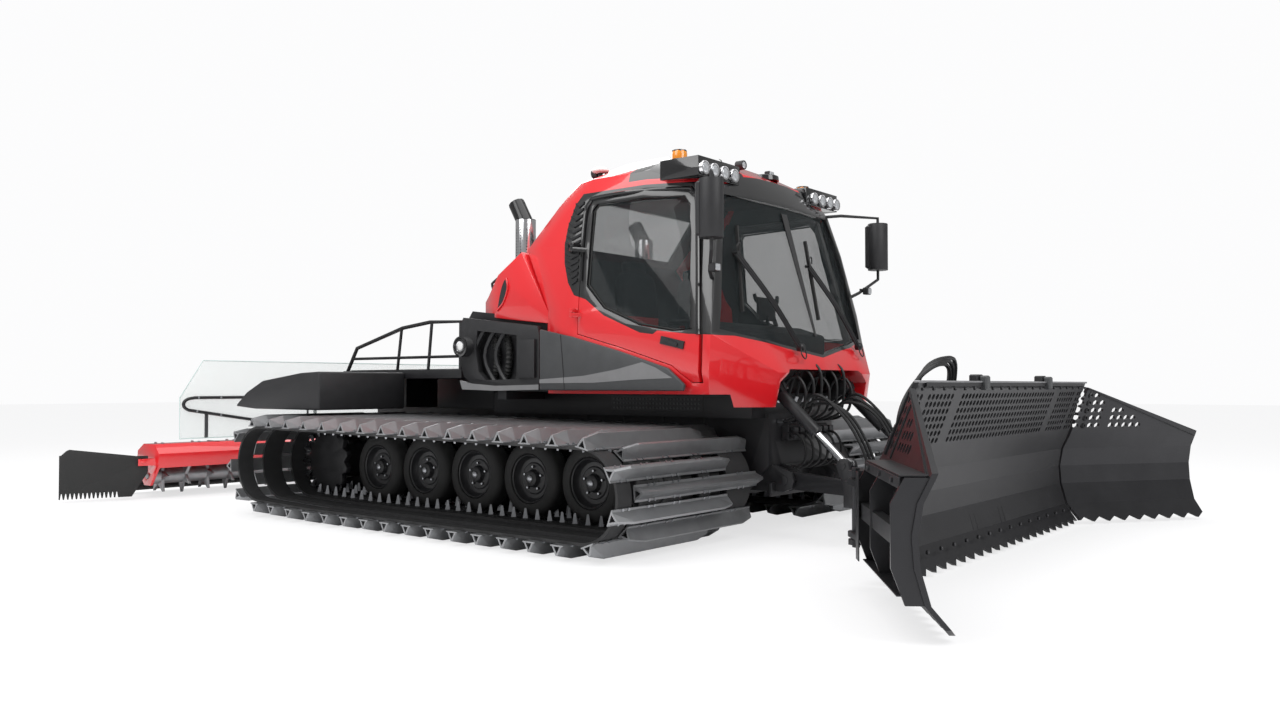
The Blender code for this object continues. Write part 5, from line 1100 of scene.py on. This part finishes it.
mirror = {
    "frame": ((2.2235, -1.33, 2.115), (2.27, -1.19, 2.485), 0.012),
    "plate": ((2.2205, -1.322, 2.125), (2.2232, -1.198, 2.475), 0.0008),
    "lamp": ((2.235, -1.185, 1.885), (2.285, -1.115, 1.945)),
    "lens": ((2.2855, -1.178, 1.892), (2.291, -1.122, 1.938), 0.003),
    "stay": ((2.2, -1.13, 1.93), (2.24, -1.145, 1.93)),
}
addPair("mirrorFrame", [block(*mirror["frame"])], blackPlastic)
addPair("mirrorPlate", [block(*mirror["plate"])], chrome)
addPair("workLamp", [block(*mirror["lamp"]), pipe(mirror["stay"], 0.008)], blackPlastic)
addPair("workLens", [block(*mirror["lens"])], lampLens)
print("lamps ready")


# hood and side: air scoop, grab handle, strips on fairing and bay, seam and bay lamp
flank = {
    "scoop": ((0.05, 1.735), (0.115, 1.8), (0.155, 1.9), (0.145, 1.975), (0.105, 1.93), (0.07, 1.83)),
    "lip": ((0.04, 1.72), (0.118, 1.79), (0.165, 1.9), (0.148, 1.985)),
    "grab": ((-0.135, -0.93, 1.885), (-0.165, -0.93, 1.955), (-0.14, -0.93, 1.985), (0.02, -0.93, 2.065),
             (0.06, -0.93, 2.055), (0.065, -0.93, 2.005)),
    "strip": ((0.645, 1.125), (0.645, 1.155), (1.1, 1.18), (1.42, 1.225), (1.66, 1.275), (1.78, 1.235), (1.93, 1.16),
              (1.6, 1.15), (1.2, 1.128)),
    "bayStrip": ((-0.3, 1.075), (-0.33, 1.15), (-0.2, 1.125), (0.1, 1.105), (0.585, 1.115), (0.585, 1.075),
                 (0.1, 1.065)),
    "seam": ((0.905, -1.191, 1.075), (0.895, -1.191, 1.2), (0.865, -1.191, 1.495)),
    "bayLamp": (-0.24, -1.2175, 1.43),
    "bayRing": ((0.084, -1.2175), (0.084, -1.224), (0.07, -1.228), (0.062, -1.2185)),
}
addPair("hoodScoop", [slab(smoothPath(flank["scoop"], 4), -1.0725, -1.05)], blackPlastic, "hood", smooth=False)
lipLine = [(x, -1.073, z) for x, z in smoothPath(flank["lip"], 5)]
addPair("scoopLip", [pipe(lipLine, 0.007, 8)], red, "hood")
addPair("grabHandle", [pipe(smoothPath(flank["grab"], 6), 0.011)], blackPaint, "hood")
addPair("fairingStrip", [slab(flank["strip"], -1.1925, -1.185)], lighterGrey, smooth=False)
addPair("bayStrip", [slab(flank["bayStrip"], -1.1425, -1.12)], lighterGrey, smooth=False)
addPair("fairingSeam", [pipe(flank["seam"], 0.0035, 6)], blackPlastic)
x, y, z = flank["bayLamp"]
rim, lens = lampFace((x, y, z), 0.046, 0.006, "y", -1.0)
addPair("bayLampRing", [lathe(flank["bayRing"], (x, 0, z), 36)], blackGloss)
addPair("bayLampRim", [rim], chrome)
addPair("bayLampLens", [lens], whitePlastic)
print("side details ready")


# hoses, valve block and step at the front
hoses = {
    # how many side by side, y of the first, pitch, radius, and the points of a run:
    # x, step in y, z, and what z gains from one hose to the next, over and over for three
    "front": (7, -0.36, 0.12, 0.011, (
        (2.3, 0.0, 1.02, 0.0), (2.36, -0.01, 1.13, 0.05), (2.44, 0.01, 1.17, 0.05), (2.5, 0.02, 1.08, 0.05),
        (2.485, 0.01, 0.93, 0.0), (2.4, 0.0, 0.86, 0.0), (2.31, 0.0, 0.84, 0.0))),
    "low": (6, -0.29, 0.11, 0.01, (
        (2.33, 0.0, 0.76, 0.0), (2.42, 0.0, 0.74, 0.0), (2.46, 0.02, 0.66, 0.0), (2.45, 0.03, 0.56, 0.0),
        (2.38, 0.02, 0.5, 0.0), (2.29, 0.0, 0.5, 0.0))),
    "lift": (3, 0.2, 0.055, 0.0115, (
        (2.4, 0.0, 0.92, 0.0), (2.58, 0.0, 0.98, 0.03), (2.78, 0.0, 0.9, 0.0), (2.92, 0.0, 0.7, 0.0),
        (2.99, 0.0, 0.52, 0.0), (3.0, 0.0, 0.465, 0.0))),
    "swivel": (2, 0.1, 0.07, 0.011, (
        (3.03, 0.0, 0.463, 0.0), (3.07, 0.0, 0.6, 0.03), (3.2, 0.0, 0.72, 0.03), (3.34, 0.0, 0.7, 0.0),
        (3.4, 0.0, 0.64, 0.0))),
    "blade": (3, -1.2, 0.05, 0.013, (
        (3.64, -0.1, 0.74, 0.0), (3.66, -0.05, 0.98, 0.0), (3.72, 0.06, 1.15, 0.03), (3.78, 0.22, 1.235, 0.02),
        (3.77, 0.4, 1.2, 0.02), (3.7, 0.5, 1.0, 0.0), (3.64, 0.52, 0.8, 0.0))),
    "bladeLow": (2, 0.75, 0.06, 0.011, (
        (3.64, 0.0, 0.55, 0.0), (3.6, 0.08, 0.72, 0.0), (3.62, 0.25, 0.8, 0.0), (3.64, 0.45, 0.66, 0.0),
        (3.64, 0.55, 0.5, 0.0))),
    # point and direction of the two fittings of each front hose
    "fittings": (((2.285, 0.985), (0.5, 0.0, 1.0)), ((2.33, 0.845), (-1.0, 0.0, 0.0))),
    "fitting": (0.0155, 0.045),
    "valve": ((2.275, -0.3, 0.7), (2.335, 0.3, 0.815), 0.006),
    "spool": ((2.335, -0.27, 0.715), (2.37, -0.205, 0.8)),
    "spools": (7, 0.09),
    "step": ((2.28, -0.5, 0.3), (2.31, 0.5, 0.4), 0.006),
}


def hoseRun(key, way=1):
    count, first, pitch, radius, points = hoses[key]
    runs = []
    for k in range(count):
        y = way * (first + pitch * k)
        run = [(x, y + aside, z + gain * (k % 3)) for x, aside, z, gain in points]
        runs.append(pipe(smoothPath(run, 7), radius, 8))
    return runs


fittings = []
count, first, pitch = hoses["front"][:3]
radius, length = hoses["fitting"]
for k in range(count):
    for (x, z), toward in hoses["fittings"]:
        point, toward = np.array((x, first + pitch * k, z)), np.array(toward)
        fittings.append(pipe([point, point + toward / np.linalg.norm(toward) * length], radius, 6))
spools, pitch = hoses["spools"]
low, high = (np.array(corner) for corner in hoses["spool"])
valve = [block(*hoses["valve"])]
valve += [block(low + (0, pitch * k, 0), high + (0, pitch * k, 0), 0.005) for k in range(spools)]
add("frontHoses", hoseRun("front") + hoseRun("low"), hoseRubber)
add("hoseFerrules", fittings, boltSteel)
add("valveBlock", valve, edgeSteel)
flexing = add("liftHoses", hoseRun("lift", -1) + hoseRun("lift"), hoseRubber, None)
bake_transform(flexing)
flexing = add("swivelHoses", hoseRun("swivel", -1) + hoseRun("swivel"), hoseRubber, None)
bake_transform(flexing)
add("bladeHoses", hoseRun("blade") + hoseRun("bladeLow"), hoseRubber, "blade")
add("frontStep", [block(*hoses["step"])], edgeSteel)
print("hoses ready")


# blade trim: bright top edge, clips, bolts; the wing's back is a box with a bolted bar and flanges round its screen
wingBack = {
    # from the middle of the blade's top edge: the bright edge, each clip and each clip's pad
    "edge": ((-0.03, -1.6, -0.012), (0.006, 1.6, 0.0015), 0.004),
    "clipsAt": (-0.62, 0.62),
    "clip": ((-0.075, -0.055, -0.035), (-0.02, 0.055, 0.042), 0.008),
    "pad": ((-0.02, -0.03, -0.055), (0.03, 0.04, 0.035), 0.01),
    # the blade's two rows of bolts: outline, sides, and range and pitch of y; then where the rows run
    "upperBolt": (((0.01, 0.0), (0.01, 0.012), (0.007, 0.015)), 6, (-1.55, 1.551, 0.155)),
    "lowerBolt": (((0.013, 0.0), (0.013, 0.012), (0.009, 0.016)), 8, (-1.6, 1.61, 0.2)),
    "upperRow": (0.41, 0.012),
    "lowerRow": (3.787, 0.0, 0.135),
    "boxes": (((3.602, -3.01, 0.7125), (3.735, -2.07, 0.7205)), ((3.585, -3.01, 0.196), (3.69, -2.07, 0.204)),
              ((3.551, -2.14, 0.2), (3.557, -2.05, 0.66))),
    # start, stop and depth of the flanges, and their half thickness
    "flanges": (((3.735, -3.02, 0.696), (3.889, -1.85, 1.082), 0.022),
                ((3.742, -2.06, 0.725), (3.85, -2.06, 1.0), 0.016),
                ((3.742, -1.9, 0.735), (3.876, -1.88, 1.065), 0.018)),
    "flangeHalf": (0.0, 0.003, 0.004),
    "bar": ((3.596, -3.01, 0.662), (3.606, -2.07, 0.712)),
    "bolts": (-2.22, -2.55, -2.88),
    "bolt": ((0.013, 3.5955), (0.013, 3.585), (0.009, 3.582)),
    "boltZ": 0.688,
}
topX, topZ = blade["profile"][6]
for name, key, ys, paint in (("bladeTopEdge", "edge", (0.0,), paleEdgeSteel),
                             ("bladeClips", "clip", wingBack["clipsAt"], blackPlastic),
                             ("bladeClipPads", "pad", wingBack["clipsAt"], greyPlastic)):
    low, high, ease = wingBack[key]
    spots = [np.array((topX, y, topZ)) for y in ys]
    add(name, [block(spot + low, spot + high, ease) for spot in spots], paint, "blade")
bolts, (up, out) = [], wingBack["upperRow"]
upper, lower = start + screenUp * up + screenOut * out, np.array(wingBack["lowerRow"])
for key, spot in (("upperBolt", upper), ("lowerBolt", lower)):
    outline, sides, ys = wingBack[key]
    bolts += [lathe(outline, spot + across * y, sides, "x") for y in np.arange(*ys)]
add("bladeBolts", bolts, edgeSteel, "blade")
shelfParts = [block(low, high, 0.002) for low, high in wingBack["boxes"]]
shelfParts += [beam(low, high, -screenOut * deep, wingBack["flangeHalf"]) for low, high, deep in wingBack["flanges"]]
barParts = [block(*wingBack["bar"], 0.002)]
barParts += [lathe(wingBack["bolt"], (0.0, y, wingBack["boltZ"]), 6, "x") for y in wingBack["bolts"]]
for sideName, turnSide, way in machineSides:
    for name, parts, paint in (("wingBox", shelfParts, bladeSteel), ("wingBar", barParts, edgeSteel)):
        turned = [spun(turnSide(part), hinge * (1, -way, 1), way * blade["angle"]) for part in parts]
        add(f"{name}_{sideName}", turned, paint, f"wing_{sideName}", smooth=False)
print("blade trim ready")


# seats and controls
seat = {
    # centre, half size and lean of each cushion
    "seatCushion": ((1.255, -0.42, 1.445), (0.255, 0.24, 0.07), -3.0),
    "seatBack": ((0.995, -0.42, 1.765), (0.062, 0.23, 0.265), -5.0),
    "seatHead": ((0.96, -0.42, 2.055), (0.045, 0.125, 0.06), -5.0),
}
seatLook = {"redBand": (1.53, 1.66), "weave": 420.0, "drift": 18.0}


def cushion(centre, half, lean=0.0, power=0.45, rows=18, cols=28):
    # a swollen box: cos and sin of both angles, each raised to the power with its sign kept
    def swell(value):
        return np.sign(value) * np.abs(value) ** power
    v = np.linspace(-math.pi / 2 + 0.02, math.pi / 2 - 0.02, rows)[:, None]
    u = np.linspace(0, 2 * math.pi, cols, endpoint=False)[None]
    x, y, z = swell(np.cos(v)) * swell(np.cos(u)), swell(np.cos(v)) * swell(np.sin(u)), swell(np.sin(v)) + 0 * u
    points = np.stack([x * half[0], y * half[1], z * half[2]], -1).reshape(-1, 3)
    # the middle of the wide faces is crowned a little
    points = points * (1.0 + 0.03 * np.cos(np.clip(points / np.array(half), -1, 1) * math.pi / 2).prod(1))[:, None]
    leaning = np.array(Matrix.Rotation(math.radians(lean), 3, "Y"))
    faces = gridFaces(rows, cols, closeCols=True).tolist()
    faces += [list(range(cols)), [(rows - 1) * cols + k for k in range(cols)]]
    return points @ leaning.T + np.array(centre), faces


def seatPaint():
    paint = Paint("seatTwoTone", Roughness=0.8)
    weave = paint.noise(seatLook["weave"], 1.0)
    low, high = seatLook["redBand"]
    drift = paint.noise(seatLook["drift"])
    dark = paint.mix(drift, (0.016, 0.016, 0.018), (0.03, 0.03, 0.032))
    bright = paint.mix(drift, (0.4, 0.01, 0.014), (0.52, 0.014, 0.02))
    paint.feed("Base Color", paint.mix((paint.z > low) * (paint.z < high), dark, bright))
    paint.bump(weave, 0.4, 0.001)
    return paint.material


seatTwoTone = seatPaint()
for sideName, _, way in machineSides:
    for formName, (centre, half, lean) in seat.items():
        verts, faces = cushion(centre, half, lean)
        pad = surface(f"{formName}_{sideName}", verts * (1, way, 1), faces, seatTwoTone, "base", "seat")
        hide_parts(f"seat_{sideName}")
cabParts = {
    "frameBlocks": (((1.06, -0.6, 1.1003), (1.42, -0.24, 1.19), 0.01), ((1.1, -0.57, 1.19), (1.38, -0.27, 1.385), 0.03),
                    ((0.93, -0.56, 1.3), (0.965, -0.28, 1.6), 0.01),
                    ((1.08, -0.155, 1.6), (1.42, -0.085, 1.655), 0.02)),
    "frameTubes": ((((0.965, -0.47, 1.96), (0.955, -0.47, 2.03)), 0.008),
                   (((0.965, -0.37, 1.96), (0.955, -0.37, 2.03)), 0.008),
                   (((1.1, -0.12, 1.6), (1.08, -0.2, 1.42)), 0.015)),
    "lever": ((1.36, 0.12, 1.655), (1.37, 0.12, 1.74)),
    "knob": ((0.02, 0.0), (0.028, 0.03), (0.024, 0.08), (0.01, 0.095)),
    "knobFoot": (1.37, 0.12, 1.73),
    "column": ((1.8, 0.42, 1.6), (1.72, 0.42, 1.8)),
    "handles": ((1.7, 0.24, 1.86), (1.71, 0.27, 1.8), (1.72, 0.42, 1.79), (1.71, 0.57, 1.8), (1.7, 0.6, 1.86)),
    "display": ((1.93, -0.1, 1.62), (1.955, 0.16, 1.8), 0.008),
    "displayStay": ((1.96, 0.03, 1.58), (1.95, 0.03, 1.66)),
    "displayFace": ((1.9275, -0.085, 1.635), (1.9295, 0.145, 1.785), 0.0008),
}
blocks = [block(*box) for box in cabParts["frameBlocks"]]
tubes = [pipe(ends, radius) for ends, radius in cabParts["frameTubes"]]
addPair("seatFrame", blocks[:3] + tubes[:2] + blocks[3:] + tubes[2:], blackPlastic)
add("controls", [pipe(cabParts["lever"], 0.012), lathe(cabParts["knob"], cabParts["knobFoot"], 16, "z"),
                 pipe(cabParts["column"], 0.018), pipe(smoothPath(cabParts["handles"], 5), 0.016),
                 block(*cabParts["display"]), pipe(cabParts["displayStay"], 0.015)], blackPlastic)
add("displayFace", [block(*cabParts["displayFace"])], blackGloss)
print("seats ready")


# tiller: comb fingers, snow guard's edge and frame, seams and bolts
tiller = {
    "comb": ((-4.18, 0.444), (-4.33, 0.325), (-4.42, 0.134), (-4.53, 0.05)),
    "fingersAt": (-1.9, 1.901, 0.095),
    "spring": ((-4.335, 0.335), (-4.425, 0.14)),
    "springsAt": (-1.85, 1.851, 0.19),
    # half width and half thickness
    "finger": ((0, 0.014, 0), (0.006, 0, 0.006)),
    "sheet": ((-2.0, 0.6), (-2.0, 0.99), (-1.77, 1.35), (1.77, 1.35), (2.0, 0.99), (2.0, 0.6)),
    "sheetX": -3.32,
    "seam": ((-3.8, 0.532), (-4.02, 0.532), (-4.14, 0.462)),
    "seams": (-1.33, -0.66, 0.0, 0.66, 1.33),
    # x and radii of the two rows of bolts, their levels, and range and pitch of y
    "bolts": ((-3.84, 0.016, 0.011), (-3.98, 0.014, 0.01)),
    "boltLevels": (0.528, 0.541, 0.545),
    "boltsAt": (-1.9, 1.91, 0.38),
}
fingers = []
for y in np.arange(*tiller["fingersAt"]):
    for (x1, z1), (x2, z2) in zip(tiller["comb"], tiller["comb"][1:]):
        fingers.append(beam((x1, y, z1), (x2, y, z2), *tiller["finger"]))
add("combFingers", fingers, rubber, "tiller")
springs = [pipe([(x, y, z) for x, z in tiller["spring"]], 0.004, 6) for y in np.arange(*tiller["springsAt"])]
add("combSprings", springs, boltSteel, "tiller")
sheetLine = [(tiller["sheetX"], y, z) for y, z in tiller["sheet"]]
add("guardEdge", [pipe(sheetLine, 0.006, 6, closed=True)], sheetEdge, "tiller")
guard = {
    "face": -3.2992, "back": -3.3438, "tube": 0.0155, "post": 0.018, "postY": 0.5, "bolt": 0.01,
    "postLine": ((-3.82, 0.42), (-3.76, 0.51), (-3.66, 0.6), (-3.42, 0.66)), "postTop": (0.72, 1.0),
    "loop": ((0.62, 0.99), (1.2, 0.99), (1.86, 0.99), (1.935, 0.975), (1.972, 0.94), (1.965, 0.9),
             (1.925, 0.872), (1.4, 0.788), (0.62, 0.664)),
    "bolts": ((0.8, 0.99), (1.6, 0.99), (1.83, 0.99), (1.845, 0.859), (1.6, 0.82), (0.8, 0.693)),
    "stay": (1.755, 1.72, 0.605, 0.85),
}
face, tube = guard["face"], guard["tube"]
guardParts, guardBolts, guardStays = [], [], []
for way in (-1.0, 1.0):
    loop = np.array([(face, way * y, z) for y, z in guard["loop"]])
    rounded = np.concatenate([loop[:2], smoothPath(loop[2:7], 5), loop[7:]])
    guardParts.append(pipe(rounded, tube, 12, closed=True))
    head = ((guard["bolt"], face + 0.012), (guard["bolt"], face + 0.019), (guard["bolt"] * 0.6, face + 0.022))
    guardBolts += [lathe(head, (0.0, way * y, z), 8, "x") for y, z in guard["bolts"]]
    post = [(x, way * guard["postY"], z) for x, z in guard["postLine"]]
    post += [(guard["back"], way * guard["postY"], z) for z in guard["postTop"]]
    guardParts.append(pipe(post, guard["post"], 12))
    outer, inner, low, high = guard["stay"]
    guardStays.append(block((face - 0.0155, way * outer, low), (face - 0.0045, way * inner, high), 0.003))
y, z = guard["loop"][0]
guardParts.append(pipe([(face, -y, z), (face, y, z)], tube, 12))
guardFrame = add("guardFrame", guardParts, blackPaint, "tiller", "black_paint")
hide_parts("guard_frame")
add("guardBolts", guardBolts, boltSteel, "tiller")
add("guardStays", guardStays, greyPlastic, "tiller")
seams = [pipe([(x, y, z) for x, z in tiller["seam"]], 0.006, 6) for y in tiller["seams"]]
add("tillerSeams", seams, blackPaint, "tiller")
tillerBolts = [lathe(list(zip((wide, wide, narrow), tiller["boltLevels"])), (x, y, 0), 6, "z")
               for x, wide, narrow in tiller["bolts"] for y in np.arange(*tiller["boltsAt"])]
add("tillerBolts", tillerBolts, boltSteel, "tiller")
print("tiller ready")


# what shows behind the bay and beside the tub, and the deck; the black panel behind the bay is painted shade for the
# bay's shaded inside
bay = {
    "back": ((-0.34, 1.08), (-0.37, 1.4), (-0.36, 1.66), (-0.3, 1.735), (0.6, 1.63), (0.6, 1.06), (0.1, 1.06)),
    # x and rise of each duct, and the steps of its run
    "ducts": ((-0.02, 0.0), (0.12, 0.02), (0.26, 0.0)),
    "ductRun": ((0.0, -1.035, 1.16, 0), (0.05, -1.06, 1.26, 0), (0.06, -1.064, 1.38, 1), (0.01, -1.045, 1.5, 0)),
    "grille": ((0.93, -0.6635, 0.912), (1.82, -0.6605, 1.032), 0.001),
    "dot": ((0.0105, -0.6665), (0.0105, -0.6615)),
    # first x and z, pitches and numbers of the grille's dots, and of the deck's studs in x and y
    "dots": (0.96, 0.935, 0.033, 0.034, 26, 3),
    "studs": (-2.11, -0.85, 0.0505, 0.17, 33, 11),
    "stud": ((0.012, 1.2535), (0.01, 1.256)),
    # first rib or plank, and number and pitch of them
    "rib": ((-1.9, -0.486, 0.4), (-1.88, -0.4805, 0.86)),
    "ribs": (10, 0.4),
    "plank": ((-2.13, -0.925, 1.2503), (-1.98, 0.925, 1.2535)),
    "planks": (10, 0.166),
}
# a black sheet behind the bay's openings: painted shade where the inside of the bay lies in shadow
addPair("bayShadePanel", [slab(bay["back"], -1.028, -1.008)], blackPaint, smooth=False)
ducts = []
for x, lift in bay["ducts"]:
    run = smoothPath([(x + ahead, y, z + share * lift) for ahead, y, z, share in bay["ductRun"]], 8)
    ducts.append(pipe(run, 0.026 + 0.004 * np.cos(np.arange(len(run)) * math.pi), 12))
addPair("bayDucts", ducts, rubber)
addPair("tubGrille", [block(*bay["grille"])], blackPaint, smooth=False)
x, z, xPitch, zPitch, columns, rows = bay["dots"]
dots = [lathe(bay["dot"], (x + xPitch * k, 0, z + zPitch * row), 6) for row in range(rows) for k in range(columns)]
addPair("tubGrilleDots", dots, greyPlastic, smooth=False)


def blockRow(first, repeat, ease):
    low, high = (np.array(corner) for corner in first)
    count, pitch = repeat
    return [block(low + (pitch * k, 0, 0), high + (pitch * k, 0, 0), ease) for k in range(count)]


addPair("tubRibs", blockRow(bay["rib"], bay["ribs"], 0.002), blackPaint, smooth=False)
add("deckPlanks", blockRow(bay["plank"], bay["planks"], 0.001), blackPaint, smooth=False)
x, y, xPitch, yPitch, columns, rows = bay["studs"]
deckStuds = [lathe(bay["stud"], (x + xPitch * k, y + yPitch * row, 0), 5, "z")
             for k in range(columns) for row in range(rows)]
add("deckStuds", deckStuds, greyPlastic, smooth=False)

# engine trim under the hood: ribbed covers, air filter and pipes on top, pulleys and belt at the rear, side ribs
engine = {
    "top": 1.4903, "rear": -0.3003, "side": 0.4203,
    # start, stop, y, half width and height of each cover, and first place, pitch and number of its ribs
    "cover": (-0.22, 0.17, 0.16, 0.07, 0.055),
    "coverRibs": (0.05, 0.09, 4),
    "sideRibs": (-0.24, 0.13, 6, 1.09, 1.45),
    "intake": ((0.13, 0.3, 1.4903), (0.125, 0.32, 1.56), (0.06, 0.33, 1.6), (0.0, 0.28, 1.635), (0.0, 0.2, 1.64)),
    # x, z, radius and half length
    "filter": (0.0, 1.64, 0.08, 0.24),
    # y, z and radius; then a pulley's outline as radius share, radius step and depth
    "pulleys": ((0.0, 1.16, 0.085), (0.21, 1.33, 0.05), (-0.2, 1.35, 0.055)),
    "pulley": ((0, 0.02, 0.0), (0, 0.02, 0.012), (1, 0.0, 0.012), (1, 0.0, 0.018), (1, -0.01, 0.026), (1, 0.0, 0.034),
               (1, 0.0, 0.04), (0.5, 0.0, 0.04), (0.4, 0.0, 0.03), (0, 0.012, 0.03)),
    "belt": 0.026,
}
top, rear, aside = engine["top"], engine["rear"], engine["side"]
first, last, offset, half, tall = engine["cover"]
covers, engineParts = [], []
for way in (-1, 1):
    y = way * offset
    covers.append(block((first, y - half, top), (last, y + half, top + tall), 0.014))
    start, pitch, count = engine["coverRibs"]
    for k in range(count):
        x = first + start + pitch * k
        covers.append(block((x, y - half * 0.8, top + tall), (x + 0.03, y + half * 0.8, top + tall + 0.012), 0.005))
        engineParts.append(lathe(((0.012, top), (0.012, top + 0.02), (0.008, top + 0.026)),
                                 (x + 0.015, way * (offset + half + 0.03), 0), 6, "z"))
    start, pitch, count, low, high = engine["sideRibs"]
    for k in range(count):
        x = start + pitch * k
        engineParts.append(block((x, way * aside, low), (x + 0.03, way * (aside + 0.02), high), 0.006))
    engineParts.append(pipe(smoothPath([(x, way * y, z) for x, y, z in engine["intake"]], 6), 0.032, 14))
x, z, wide, reach = engine["filter"]
outline = [(0.03, -reach), (wide, -reach + 0.01)]
outline += [(wide - 0.006 * (k % 2), -reach + 0.04 + 0.02 * k) for k in range(21)]
outline += [(wide, reach - 0.01), (0.03, reach)]
covers.append(lathe(outline, (x, 0, z), 36))
covers += [block((x - 0.015, y - 0.02, top), (x + 0.015, y + 0.02, z - wide + 0.01), 0.004) for y in (-0.05, 0.05)]
pulleys = [lathe([(wide * share + more, rear - deep) for share, more, deep in engine["pulley"]], (0, y, z), 28, "x")
           for y, z, wide in engine["pulleys"]]
# the belt's outline: in every direction, the farthest point of the three grooves
around = []
for angle in np.radians(np.arange(0, 360, 10)):
    way = np.array((math.cos(angle), math.sin(angle)))
    rims = [np.array((y, z)) + (wide - 0.004) * way for y, z, wide in engine["pulleys"]]
    around.append(max(rims, key=lambda spot: float(spot @ way)))
beltRun = np.concatenate([np.full((len(around), 1), rear - engine["belt"]), around], 1)
beltRun = beltRun[np.linalg.norm(beltRun - np.roll(beltRun, 1, 0), axis=1) > 0.001]
add("engineCovers", covers, blackPlastic)
add("engineParts", engineParts, engineIron)
add("enginePulleys", pulleys, boltSteel)
add("engineBelt", [pipe(beltRun, 0.007, 8, closed=True)], rubber)
print("engine and fillers ready")
